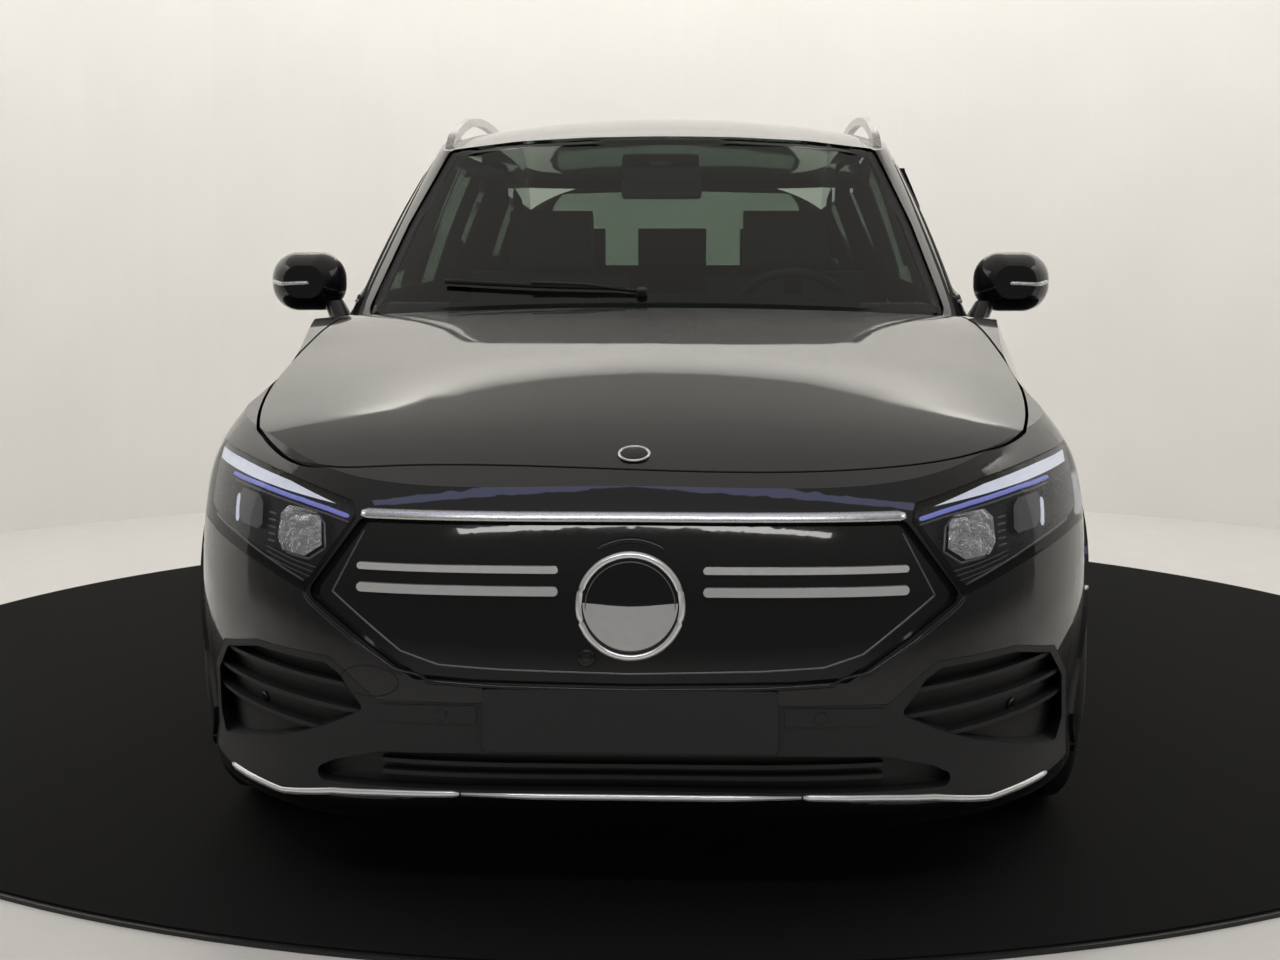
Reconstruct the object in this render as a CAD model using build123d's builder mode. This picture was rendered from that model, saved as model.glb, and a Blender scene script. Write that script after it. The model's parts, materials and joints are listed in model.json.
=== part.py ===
"""Five-door electric crossover, built as an assembly of separate panels, glass, lamps, running gear and cabin.

Frame: millimetres, +Z up, origin on the ground at the middle of the car. The nose points along -Y and the
driver's (left) side is +X. Lengthwise places are measured from the nose, the axles or the tail, so the
body stretches with the wheelbase and the overhangs.
"""

import os
from functools import lru_cache
from math import cos, radians, sin

from build123d import *

os.makedirs("parts", exist_ok=True)

# ---------------------------------------------------------------- driving dimensions
wheelbase = 2729.0
front_overhang = 890.0
rear_overhang = 844.0
track = 1585.0
tyre_width = 235.0
tyre_side = 117.5
rim_radius = 241.3
arch_clearance = 46.0
hood_gap = 6.0
door_gap = 8.5
frame_swing_gap = 14.0
tailgate_gap = 6.0
seam = 0.8
fit = 0.3

skin_thickness = 16.0
hood_thickness = 26.0
roof_thickness = 30.0
door_thickness = 78.0
door_frame_depth = 45.0
door_seal_gap = 12.0
pillar_depth = 130.0
tailgate_thickness = 60.0
glass_thickness = 5.0
glass_recess = 6.0
lamp_depth = 60.0

arch_lip_width = 36.0
arch_lip_proud = 7.5
liner_thickness = 5.0

patch_crease = 0.05

hinge_pin_radius = 4.0
hinge_boss_radius = 8.0
hinge_arm_height = 24.0
door_hinge_x = 890.0
door_hinge_setback = 32.0
door_hinge_heights = (480.0, 790.0)

# ---------------------------------------------------------------- places worked out from them
front_axle = -(front_overhang + wheelbase + rear_overhang) / 2 + front_overhang
rear_axle = front_axle + wheelbase
nose = front_axle - front_overhang
tail = rear_axle + rear_overhang
tyre_radius = rim_radius + tyre_side
arch_radius = tyre_radius + arch_clearance
wheel_x = track / 2


def smooth(points, start, end):
    """Bezier edges through points, leaving along start and arriving along end.

    Neighbours meet at patch_crease degrees, too little to see, so each edge lofts into a face of its own.
    """
    points = [Vector(p) for p in points]
    middle = [(after - before).normalized() for before, after in zip(points, points[2:])]
    tangents = [Vector(start).normalized()] + middle + [Vector(end).normalized()]
    for here, after, leave, arrive in zip(points, points[1:], tangents, tangents[1:]):
        reach = (after - here).length / 3
        leave = leave.rotate(Axis.Z, patch_crease)
        Bezier(here, here + leave * reach, after - arrive * reach, after)


def side_prism(points, near, far, radius=0.0, grow=0.0):
    """A (y, z) outline, rounded and grown, pushed through from x = near to x = far."""
    with BuildPart() as prism:
        with BuildSketch(Plane.YZ.offset(near)) as sketch:
            with BuildLine():
                Polyline(*points, close=True)
            make_face()
            if radius:
                fillet(sketch.vertices(), radius)
            if grow:
                offset(amount=grow, kind=Kind.INTERSECTION, mode=Mode.REPLACE)
        extrude(amount=far - near)
    return prism.part


def front_prism(points, near, far, radius=0.0, grow=0.0):
    """An (x, z) outline, rounded and grown, pushed through from y = near to y = far."""
    with BuildPart() as prism:
        with BuildSketch(Plane.XZ.offset(-far)) as sketch:
            with BuildLine():
                Polyline(*points, close=True)
            make_face()
            if radius:
                fillet(sketch.vertices(), radius)
            if grow:
                offset(amount=grow, kind=Kind.INTERSECTION, mode=Mode.REPLACE)
        extrude(amount=far - near)
    return prism.part


def top_prism(points, low, high, radius=0.0, grow=0.0):
    """An (x, y) outline, rounded and grown, pushed through from z = low to z = high."""
    with BuildPart() as prism:
        with BuildSketch(Plane.XY.offset(low)) as sketch:
            with BuildLine():
                Polyline(*points, close=True)
            make_face()
            if radius:
                fillet(sketch.vertices(), radius)
            if grow:
                offset(amount=grow, kind=Kind.INTERSECTION, mode=Mode.REPLACE)
        extrude(amount=high - low)
    return prism.part


def both_sides(points):
    """A half outline from the centre line outwards, closed by its mirror image."""
    return points + [(-x, other) for x, other in reversed(points) if x]


# ---------------------------------------------------------------- lower body: walls
# directions of the side, seen from above, at the front wheel and behind the rear wheel
front_side = (0.06, 1)
rear_side = (-0.12, 1)
# height, nose, front corner (x, back from nose), half-widths at the front wheel, the front door, the rear
# wheel and behind it, tail corner (x, ahead of tail), tail
wall_levels = [
    (160, 78, (580, 150), 838, 800, 800, 780, (520, 200), 120),
    (250, 26, (604, 108), 874, 858, 866, 852, (570, 110), 30),
    (400, 0, (600, 92), 888, 890, 897, 882, (600, 95), 6),
    (560, 10, (610, 100), 895, 903, 907, 895, (615, 92), 0),
    (700, 42, (605, 135), 886, 905, 907, 893, (625, 100), 12),
    (800, 98, (590, 195), 862, 902, 905, 885, (630, 115), 24),
    (890, 210, (545, 310), 800, 891, 897, 868, (632, 140), 34),
    (970, 380, (480, 450), 735, 868, 880, 838, (628, 180), 52),
    (1050, 420, (440, 490), 690, 838, 856, 805, (610, 240), 95),
    (1150, 440, (420, 505), 650, 798, 818, 765, (590, 310), 150),
]
# lengthwise place, height on the centre line, drop of the surface at crown_x
top_stations = [
    (nose - 160, 650, 60),
    (nose, 742, 58),
    (nose + 140, 808, 52),
    (nose + 300, 870, 44),
    (nose + 500, 927, 48),
    (front_axle - 190, 975, 50),
    (front_axle + 110, 1030, 44),
    (front_axle + 410, 1072, 36),
    (front_axle + 610, 1080, 48),
    (front_axle + 1310, 1092, 50),
    (rear_axle - 620, 1118, 50),
    (rear_axle + 80, 1142, 50),
    (rear_axle + 580, 1130, 58),
    (tail + 60, 1090, 70),
]
crown_x = 800.0
# height, nose, corner start, windscreen edge, rear of the front pillar, middle of the side (x, back from the
# front axle), rear of the side, rear corner (x, back from the rear axle), tail
cabin_levels = [
    (950, 235, (430, 275), (720, 410), (812, 590), (846, 1410), (826, 80), (640, 560), 780),
    (1070, 418, (430, 455), (690, 560), (778, 710), (812, 1510), (796, 30), (625, 530), 705),
    (1200, 610, (420, 650), (662, 750), (742, 900), (770, 1560), (752, -20), (595, 480), 645),
    (1350, 845, (400, 882), (628, 972), (692, 1110), (712, 1610), (692, -70), (560, 430), 570),
    (1490, 1060, (380, 1095), (592, 1178), (640, 1310), (648, 1710), (628, -120), (515, 370), 490),
    (1640, 1300, (350, 1335), (545, 1410), (575, 1530), (575, 1810), (558, -220), (465, 280), 400),
]
# lengthwise place, roof height on the centre line, drop at roof_crown_x
roof_stations = [
    (front_axle + 100, 1330, 48),
    (front_axle + 760, 1400, 48),
    (front_axle + 1060, 1497, 50),
    (front_axle + 1210, 1541, 52),
    (front_axle + 1410, 1577, 54),
    (front_axle + 1710, 1601, 56),
    (rear_axle - 619, 1604, 54),
    (rear_axle - 219, 1587, 46),
    (rear_axle + 181, 1548, 34),
    (rear_axle + 481, 1503, 28),
    (rear_axle + 831, 1440, 26),
]
roof_crown_x = 600.0
windscreen_rake = 33.0
rear_glass_rake = 60.0
side_lean = 23.0


def wall_section(level, inset):
    z, nose_in, front, wheel, door, rear_wheel, rear, tail_corner, tail_in = level
    half = [
        (0, nose + nose_in + inset),
        (front[0] - inset * 0.4, nose + front[1] + inset),
        (wheel - inset, front_axle - 330),
        (door - inset, front_axle + 610),
        (rear_wheel - inset, rear_axle + 80),
        (rear - inset, rear_axle + 460),
        (tail_corner[0] - inset * 0.4, tail - tail_corner[1] - inset),
        (0, tail - tail_in - inset),
    ]
    with BuildSketch(Plane.XY.offset(z)) as section:
        with BuildLine():
            smooth(half[:3], (1, 0), front_side)
            smooth(half[2:6], front_side, rear_side)
            smooth(half[5:], rear_side, (-1, 0))
            mirror(about=Plane.YZ)
        make_face()
    return section.sketch


def top_section(place, height, drop, drop_x, half_width):
    """Everything below a crowned surface at one lengthwise place."""
    edge = drop * (half_width / drop_x) ** 2
    shoulder = height + edge / 3
    with BuildSketch(Plane.XZ.offset(-place)) as section:
        with BuildLine():
            third = half_width / 3
            Bezier((-half_width, height - edge), (-third, shoulder), (third, shoulder), (half_width, height - edge))
            Polyline(
                (half_width, height - edge), (half_width, 60), (-half_width, 60), (-half_width, height - edge)
            )
        make_face()
    return section.sketch


@lru_cache(None)
def under_deck(inset):
    """Everything below the surface that runs over the hood, the shoulders and the tail."""
    with BuildPart() as deck:
        loft([top_section(y, z - inset, drop, crown_x, 1100) for y, z, drop in top_stations])
    return deck.part


@lru_cache(None)
def lower_body(inset):
    """The closed lower body, shrunk by inset on every side but its floor."""
    with BuildPart() as body:
        loft([wall_section(level, inset) for level in wall_levels])
        add(under_deck(inset), mode=Mode.INTERSECT)
    return body.part


def cabin_section(level, inset):
    z, nose_in, corner, edge, pillar, middle, side, rear, tail_in = level
    front_in = inset / sin(radians(windscreen_rake))
    rear_in = inset / sin(radians(rear_glass_rake))
    side_in = inset / cos(radians(side_lean))
    half = [
        (0, front_axle + nose_in + front_in),
        (corner[0] - side_in * 0.3, front_axle + corner[1] + front_in),
        (edge[0] - side_in * 0.7, front_axle + edge[1] + front_in * 0.8),
        (pillar[0] - side_in, front_axle + pillar[1] + front_in * 0.4),
        (middle[0] - side_in, front_axle + middle[1]),
        (side[0] - side_in, rear_axle + side[1]),
        (rear[0] - side_in * 0.6, rear_axle + rear[1] - rear_in * 0.8),
        (0, rear_axle + tail_in - rear_in),
    ]
    with BuildSketch(Plane.XY.offset(z)) as section:
        with BuildLine():
            smooth(half, (1, 0), (-1, 0))
            mirror(about=Plane.YZ)
        make_face()
    return section.sketch


@lru_cache(None)
def cabin(inset):
    """The closed glasshouse above the lower body, shrunk by inset on every side but its bottom."""
    with BuildPart() as walls:
        loft([cabin_section(level, inset) for level in cabin_levels])
    with BuildPart() as body:
        loft([top_section(y, z - inset, drop, roof_crown_x, 950) for y, z, drop in roof_stations])
        add(walls.part, mode=Mode.INTERSECT)
    return body.part


def save(part, name):
    part.label = name
    export_step(part, f"parts/{name}.step")


def save_pair(part, name):
    """The left piece as it is, and its mirror image on the right."""
    save(part, f"{name}_left")
    with BuildPart() as right:
        mirror(part, about=Plane.YZ)
    save(right.part, f"{name}_right")


far = 1200.0
sky = 1800.0

# ---------------------------------------------------------------- outlines of the openings
sill_bottom = 215.0
door_bottom = 300.0
front_door_lead = front_axle + 505
front_door_trail = front_axle + 1600
rear_door_lead = front_door_trail + door_gap
belt_inner_x = 765.0
belt_z = 1004.0
roof_seam_x = 560.0
tailgate_top = rear_axle + 478
tailgate_bottom = 640.0
bumper_rear_y = rear_axle + 455
bumper_front_y = front_axle - 418


def front_door_outline(swing):
    return [
        (front_door_lead, door_bottom),
        (front_door_lead, 1000),
        (front_door_lead + 95, 1058),
        (front_axle + 1180, 1440),
        (front_axle + 1290, 1468),
        (front_door_trail - swing, 1484),
        (front_door_trail - swing, 1075),
        (front_door_trail, 1040),
        (front_door_trail, door_bottom),
    ]


def rear_door_outline(swing):
    return [
        (rear_door_lead, door_bottom),
        (rear_door_lead, 1484),
        (rear_axle - 420 - swing, 1482),
        (rear_axle - 330 - swing, 1458),
        (rear_axle - 165 - swing, 1100),
        (rear_axle - 175, 960),
        (rear_axle - 235, 830),
        (rear_axle - 325, 700),
        (rear_axle - 412, 560),
        (rear_axle - 458, 420),
        (rear_axle - 462, door_bottom),
    ]


front_window = [
    (front_axle + 672, 1090),
    (front_axle + 1185, 1400),
    (front_axle + 1300, 1432),
    (front_door_trail - 55, 1446),
    (front_door_trail - 45, 1098),
]
rear_window = [
    (rear_door_lead + 45, 1100),
    (rear_door_lead + 40, 1447),
    (rear_axle - 450, 1444),
    (rear_axle - 385, 1424),
    (rear_axle - 240, 1122),
]
quarter_window = [
    (rear_axle - 105, 1130),
    (rear_axle - 230, 1400),
    (rear_axle - 180, 1425),
    (rear_axle + 80, 1390),
    (rear_axle + 220, 1300),
    (rear_axle + 250, 1180),
]
windscreen_outline = both_sides(
    [(0, 1513), (200, 1511), (400, 1502), (590, 1480), (665, 1270), (722, 1035)]
)
tailgate_outline = both_sides(
    [(0, sky), (553, sky), (555, 1440), (600, 1080), (612, 960), (585, 860), (560, 780), (520, tailgate_bottom)]
)
tailgate_glass_outline = both_sides([(0, 1432), (440, 1420), (470, 1380), (525, 1130), (500, 1095), (0, 1085)])


tailgate_hinge_y = tailgate_top - 16
tailgate_hinge_z = 1491.0
tailgate_hinge_x = 230.0
tailgate_lug_width = 16.0
tailgate_edge_radius = 23.0
roof_end = tailgate_hinge_y + 8
tail_lamp_depth = 45.0
tail_lamp_top = [(0, 872), (300, 868), (560, 886), (760, 900), (1000, 906)]
tail_lamp_foot = [(1000, 820), (760, 800), (470, 792), (440, 826), (0, 838)]
tail_lamp_outline = both_sides(tail_lamp_top + tail_lamp_foot)
tail_lamp_side = [
    (rear_axle + 440, 880),
    (rear_axle + 520, 770),
    (tail + 60, 700),
    (tail + 60, 960),
    (rear_axle + 520, 960),
]


def arch(axle, radius, near, reach):
    """A cylinder across the car on a wheel's axis."""
    with BuildPart() as cylinder:
        with BuildSketch(Plane.YZ.offset(near)):
            with Locations((axle, tyre_radius)):
                Circle(radius)
        extrude(amount=reach - near)
    return cylinder.part


@lru_cache(None)
def arch_lip(axle):
    """The raised lip round a wheel arch, with the skin behind it."""
    with BuildPart() as lip:
        with BuildSketch(Plane.YZ.offset(700)):
            with Locations((axle, tyre_radius)):
                Circle(arch_radius + arch_lip_width)
                Circle(arch_radius, mode=Mode.SUBTRACT)
            with Locations((axle, tyre_radius - 420)):
                Rectangle(1200, 520, mode=Mode.SUBTRACT)
        extrude(amount=400)
        add(lower_body(-arch_lip_proud), mode=Mode.INTERSECT)
        add(lower_body(skin_thickness), mode=Mode.SUBTRACT)
    return lip.part


# ---------------------------------------------------------------- hood
def hood_prism(grow):
    """The hood from above, with a margin of grow all round."""
    corner = (738 + grow, nose + 385 - grow * 0.5)
    heel = (740 + grow, front_axle + 418 + grow)
    front = [(450, nose + 178 - grow), (0, nose + 140 - grow), (-450, nose + 178 - grow)]
    side = [(772 + grow, front_axle - 290), (777 + grow, front_axle - 100), (768 + grow, front_axle + 160)]
    rear = [(-400, front_axle + 362 + grow), (0, front_axle + 340 + grow), (400, front_axle + 362 + grow)]
    with BuildPart() as prism:
        with BuildSketch(Plane.XY.offset(772)):
            with BuildLine():
                Spline(corner, *front, (-corner[0], corner[1]), tangents=[(-0.5, -1), (-0.5, 1)])
                for m in (1, -1):
                    edge = [(m * x, y) for x, y in (corner, *side, heel)]
                    Spline(*edge, tangents=[(m * 0.25, 1), (m * -0.15, 1)])
                Spline((-heel[0], heel[1]), *rear, heel)
            make_face()
        extrude(amount=sky - 772)
    return prism.part


hood_hinge_y = front_axle + 478
hood_hinge_z = 1034.0
hood_hinge_x = 640.0
hood_arm_width = 16.0
cowl_drop = 46.0
cowl_x = 690.0

with BuildPart() as hood:
    add(hood_prism(0))
    add(lower_body(0), mode=Mode.INTERSECT)
    add(under_deck(hood_thickness), mode=Mode.SUBTRACT)
    for side in (1, -1):
        with BuildSketch(Plane.YZ.offset(side * hood_hinge_x)):
            with BuildLine():
                Polyline(
                    (hood_hinge_y - 230, hood_hinge_z - 30),
                    (hood_hinge_y - 230, hood_hinge_z - 10),
                    (hood_hinge_y - 90, hood_hinge_z + 4),
                    (hood_hinge_y, hood_hinge_z + hinge_boss_radius),
                    (hood_hinge_y, hood_hinge_z - hinge_boss_radius),
                    close=True,
                )
            make_face()
            with Locations((hood_hinge_y, hood_hinge_z)):
                Circle(hinge_boss_radius)
                Circle(hinge_pin_radius + fit, mode=Mode.SUBTRACT)
        extrude(amount=hood_arm_width / 2, both=True)
save(hood.part, "hood")
hood_space = hood_prism(hood_gap)

# ---------------------------------------------------------------- headlamps
lamp_outline = [
    (498, 722),
    (506, 750),
    (640, 786),
    (760, 812),
    (960, 846),
    (960, 690),
    (846, 676),
    (700, 628),
    (592, 588),
]
lamp_side = [
    (nose - 60, 500),
    (nose - 60, 900),
    (nose + 300, 900),
    (front_axle - 322, 830),
    (front_axle - 395, 640),
]
lamp_back_y = front_axle - 360


def lamp_prism(grow):
    with BuildPart() as prism:
        add(front_prism(lamp_outline, nose - 60, lamp_back_y + 60, radius=6, grow=grow))
        add(side_prism(lamp_side, 0, far, grow=grow), mode=Mode.INTERSECT)
    return prism.part


lamp_space = lamp_prism(seam)
with BuildPart() as headlamp:
    add(lamp_prism(0))
    add(lower_body(0), mode=Mode.INTERSECT)
    add(lower_body(lamp_depth), mode=Mode.SUBTRACT)
save_pair(headlamp.part, "headlamp")

# ---------------------------------------------------------------- front fenders
fender_side = [
    (bumper_front_y + seam, 200),
    (bumper_front_y + seam, 560),
    (front_axle - 440, 640),
    (front_axle - 440, 1200),
    (front_door_lead - door_gap, 1200),
    (front_door_lead - door_gap, sill_bottom),
]
with BuildPart() as fender_lip:
    add(arch_lip(front_axle))
    add(side_prism(fender_side, cowl_x, far), mode=Mode.INTERSECT)
with BuildPart() as fender:
    add(side_prism(fender_side, cowl_x, far))
    add(lower_body(0), mode=Mode.INTERSECT)
    add(lower_body(skin_thickness), mode=Mode.SUBTRACT)
    add(hood_space, mode=Mode.SUBTRACT)
    add(arch(front_axle, arch_radius + arch_lip_width / 2, 500, far), mode=Mode.SUBTRACT)
    add(fender_lip.part)
    add(lamp_space, mode=Mode.SUBTRACT)
save_pair(fender.part, "front_fender")

# ---------------------------------------------------------------- front bumper, grille and lower intake
grille_outline = both_sides([(0, 724), (486, 722), (588, 586), (420, 470), (382, 446), (0, 440)])
intake_outline = both_sides([(0, 312), (300, 312), (455, 306), (540, 282), (606, 246), (560, 241), (0, 243)])
intake_slat_rows = (266, 288)
plate_width = 520.0
plate_height = 112.0
plate_centre_z = 377.0
plate_proud = 5.0
rear_plate_z = 470.0
grille_recess = 14.0
grille_thickness = 12.0
intake_recess = 30.0
bumper_side = [
    (nose - 80, 100),
    (nose - 80, sky),
    (front_axle - 440 - seam, sky),
    (front_axle - 440 - seam, 640),
    (bumper_front_y, 560),
    (bumper_front_y, 100),
]
trim_outline = both_sides(
    [
        (0, 408),
        (455, 404),
        (512, 452),
        (545, 476),
        (700, 484),
        (788, 462),
        (824, 400),
        (838, 300),
        (838, 222),
        (655, 200),
        (560, 224),
        (300, 232),
        (0, 228),
    ]
)
recess_depth = 34.0
recess_fin_rows = (345, 392, 438)
recess_right = [
    (478, 384),
    (524, 446),
    (552, 464),
    (700, 472),
    (778, 452),
    (812, 396),
    (824, 300),
    (806, 262),
    (690, 296),
    (610, 322),
    (540, 352),
]
recess_outlines = (recess_right, [(-x, z) for x, z in recess_right])
trim_rear_y = bumper_front_y - 30
with BuildPart() as recess_spaces:
    for outline in recess_outlines:
        add(front_prism(outline, nose - 60, trim_rear_y + 60, radius=10))
with BuildPart() as recess_hollows:
    add(recess_spaces.part)
    add(lower_body(recess_depth), mode=Mode.SUBTRACT)
with BuildPart() as recess_fins:
    for z in recess_fin_rows:
        for side in (1, -1):
            with BuildSketch(Plane.XZ.offset(-nose - 420)):
                with Locations(Location((side * 670, z, 0), (0, 0, side * 5))):
                    Rectangle(420, 8)
            extrude(amount=480)
    add(recess_spaces.part, mode=Mode.INTERSECT)
    add(lower_body(8), mode=Mode.INTERSECT)
    add(lower_body(recess_depth + 8), mode=Mode.SUBTRACT)
with BuildPart() as bumper_lip:
    add(arch_lip(front_axle))
    add(side_prism(bumper_side, 560, far), mode=Mode.INTERSECT)
with BuildPart() as front_bumper:
    add(side_prism(bumper_side, -far, far))
    add(lower_body(0), mode=Mode.INTERSECT)
    add(lower_body(skin_thickness), mode=Mode.SUBTRACT)
    for side in (1, -1):
        add(arch(front_axle, arch_radius + arch_lip_width / 2, side * 500, side * far), mode=Mode.SUBTRACT)
    add(bumper_lip.part)
    mirror(bumper_lip.part, about=Plane.YZ)
    add(hood_space, mode=Mode.SUBTRACT)
    add(lamp_space, mode=Mode.SUBTRACT)
    mirror(lamp_space, about=Plane.YZ, mode=Mode.SUBTRACT)
    add(front_prism(grille_outline, nose - 60, nose + 400, radius=18, grow=seam), mode=Mode.SUBTRACT)
    add(front_prism(trim_outline, nose - 60, trim_rear_y, grow=seam), mode=Mode.SUBTRACT)
save(front_bumper.part, "front_bumper")

with BuildPart() as bumper_trim:
    add(front_prism(trim_outline, nose - 60, trim_rear_y))
    add(lower_body(0), mode=Mode.INTERSECT)
    add(lower_body(recess_depth + 8), mode=Mode.SUBTRACT)
    add(recess_hollows.part, mode=Mode.SUBTRACT)
    add(recess_fins.part)
    add(front_prism(intake_outline, nose - 60, nose + 400, radius=14, grow=seam), mode=Mode.SUBTRACT)
save(bumper_trim.part, "bumper_trim")

with BuildPart() as front_plate:
    with BuildSketch(Plane.XZ.offset(-nose - 100)):
        with Locations((0, plate_centre_z)):
            RectangleRounded(plate_width, plate_height, 8)
    extrude(amount=100 + plate_proud)
    add(lower_body(-fit), mode=Mode.SUBTRACT)
save(front_plate.part, "front_plate")


blade_rows = ((640, 12), (603, 16))
blade_inner_x = 128.0
blade_outer_x = 492.0
blade_thickness = 9.0
emblem_radius = 84.0
emblem_z = 585.0

with BuildPart() as grille:
    add(front_prism(grille_outline, nose - 60, nose + 400, radius=18))
    add(lower_body(grille_recess), mode=Mode.INTERSECT)
    add(lower_body(grille_recess + grille_thickness), mode=Mode.SUBTRACT)
save(grille.part, "front_grille")

with BuildPart() as blades:
    for z, height in blade_rows:
        for side in (1, -1):
            with BuildSketch(Plane.XZ.offset(-nose - 300)):
                with Locations((side * (blade_inner_x + blade_outer_x) / 2, z)):
                    SlotOverall(blade_outer_x - blade_inner_x, height)
            extrude(amount=360)
    with BuildSketch(Plane.XZ.offset(-nose - 300)):
        with Locations((0, emblem_z)):
            Circle(emblem_radius)
    extrude(amount=360)
    add(lower_body(grille_recess - blade_thickness), mode=Mode.INTERSECT)
    add(lower_body(grille_recess - fit), mode=Mode.SUBTRACT)
save(blades.part, "grille_blades")

with BuildPart() as intake:
    add(front_prism(intake_outline, nose - 60, nose + 400, radius=14))
    add(lower_body(intake_recess), mode=Mode.INTERSECT)
    add(lower_body(intake_recess + 8), mode=Mode.SUBTRACT)
    for z in intake_slat_rows:
        with BuildSketch(Plane.XZ.offset(-nose - 100)):
            with Locations((0, z)):
                Rectangle(900, 8)
        extrude(amount=100)
    add(front_prism(intake_outline, nose - 60, nose + 400, radius=14), mode=Mode.INTERSECT)
    add(lower_body(intake_recess - 18), mode=Mode.INTERSECT)
    add(lower_body(intake_recess + 8), mode=Mode.SUBTRACT)
save(intake.part, "lower_intake")

# ---------------------------------------------------------------- roof and glass
with BuildPart() as roof:
    with BuildSketch(Plane.YZ.offset(-roof_seam_x + seam)):
        with BuildLine():
            Polyline(
                (front_axle + 1010, 1440),
                (front_axle + 1010, sky),
                (roof_end, sky),
                (roof_end, 1440),
                close=True,
            )
        make_face()
    extrude(amount=2 * (roof_seam_x - seam))
    add(cabin(0), mode=Mode.INTERSECT)
    add(cabin(roof_thickness), mode=Mode.SUBTRACT)
    add(front_prism(windscreen_outline, front_axle, front_axle + 1350, radius=25), mode=Mode.SUBTRACT)
    for side in (1, -1):
        with BuildSketch(Plane.YZ.offset(side * tailgate_hinge_x)):
            with Locations((tailgate_hinge_y + 10, tailgate_hinge_z)):
                Rectangle(48, 100)
        extrude(amount=tailgate_lug_width / 2 + 1, both=True, mode=Mode.SUBTRACT)
        with BuildSketch(Plane.YZ.offset(side * tailgate_hinge_x)):
            with Locations((tailgate_hinge_y, tailgate_hinge_z)):
                Circle(hinge_pin_radius)
        extrude(amount=tailgate_lug_width / 2 + 4, both=True)
save(roof.part, "roof_panel")

with BuildPart() as windscreen:
    add(front_prism(windscreen_outline, front_axle + 150, front_axle + 1350, radius=25, grow=-fit))
    add(cabin(glass_recess), mode=Mode.INTERSECT)
    add(cabin(glass_recess + glass_thickness), mode=Mode.SUBTRACT)
    add(under_deck(-seam), mode=Mode.SUBTRACT)
save(windscreen.part, "windscreen")

# ---------------------------------------------------------------- body sides
body_side_outline = [
    (front_axle + 432, sill_bottom),
    (front_axle + 432, sky),
    (tail + 100, sky),
    (tail + 100, tailgate_bottom - 5),
    (bumper_rear_y, tailgate_bottom - 5),
    (bumper_rear_y, 330),
    (rear_axle, 330),
    (rear_axle, sill_bottom),
]
fender_seat = [
    (front_axle, 0),
    (front_axle, 1200),
    (front_door_lead - door_gap + seam, 1200),
    (front_door_lead - door_gap + seam, 0),
]
seal_depth = door_thickness + door_seal_gap


def tail_lamp_body(grow):
    """The rear lamps' band, from the outer skin down to their depth."""
    with BuildPart() as band:
        add(front_prism(tail_lamp_outline, rear_axle + 400, tail + 60, radius=8, grow=grow))
        add(side_prism(tail_lamp_side, -far, far, grow=grow), mode=Mode.INTERSECT)
        add(lower_body(tail_lamp_depth + grow), mode=Mode.SUBTRACT)
    return band.part


tail_lamp_space = tail_lamp_body(seam)


def tailgate_space(grow):
    with BuildPart() as space:
        add(front_prism(tailgate_outline, rear_axle + 150, tail + 100, radius=30, grow=grow))
        outline = [
            (tailgate_top - grow, sky),
            (tailgate_top - grow, 1440),
            (rear_axle + 425 - grow, 1360),
            (rear_axle + 450 - grow, 1000),
            (rear_axle + 600 - grow, tailgate_bottom - grow),
            (tail + 100, tailgate_bottom - grow),
            (tail + 100, sky),
        ]
        add(side_prism(outline, -far, far), mode=Mode.INTERSECT)
    return space.part


cowl_corner = [
    (front_axle + 300, 100),
    (front_axle + 300, 1044),
    (front_axle + 760, 1044),
    (front_axle + 760, 100),
]
with BuildPart() as whole:
    add(lower_body(0))
    add(cabin(0))

with BuildPart() as rear_side_lip:
    add(arch_lip(rear_axle))
    add(side_prism(body_side_outline, belt_inner_x, far), mode=Mode.INTERSECT)

with BuildPart() as side_inner:
    add(side_prism(body_side_outline, roof_seam_x, far))
    add(whole.part, mode=Mode.INTERSECT)
    add(lower_body(pillar_depth), mode=Mode.SUBTRACT)
    add(cabin(pillar_depth), mode=Mode.SUBTRACT)
    add(side_prism(front_door_outline(0), roof_seam_x, far, radius=20, grow=-60), mode=Mode.SUBTRACT)
    add(side_prism(rear_door_outline(0), roof_seam_x, far, radius=20, grow=-60), mode=Mode.SUBTRACT)
    add(arch(rear_axle, arch_radius + liner_thickness + seam, 300, far), mode=Mode.SUBTRACT)
    add(side_prism(cowl_corner, 300, cowl_x + seam), mode=Mode.SUBTRACT)

with BuildPart() as belt_band:
    add(side_prism(front_door_outline(0), belt_inner_x + 10, far, radius=12, grow=door_gap))
    add(side_prism(rear_door_outline(0), belt_inner_x + 10, far, radius=12, grow=door_gap))
    with BuildSketch(Plane.XY.offset(940)):
        Rectangle(4000, 6000)
    extrude(amount=belt_z - 940, mode=Mode.INTERSECT)

with BuildPart() as door_spaces:
    add(side_prism(front_door_outline(0), 300, far, radius=12, grow=door_gap))
    add(side_prism(rear_door_outline(0), 300, far, radius=12, grow=door_gap))
    add(lower_body(seal_depth), mode=Mode.SUBTRACT)
    add(cabin(seal_depth), mode=Mode.SUBTRACT)
    add(belt_band.part)

with BuildPart() as fender_shadow:
    add(side_prism(fender_seat, 0, far))
    add(lower_body(skin_thickness + seam), mode=Mode.SUBTRACT)

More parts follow.
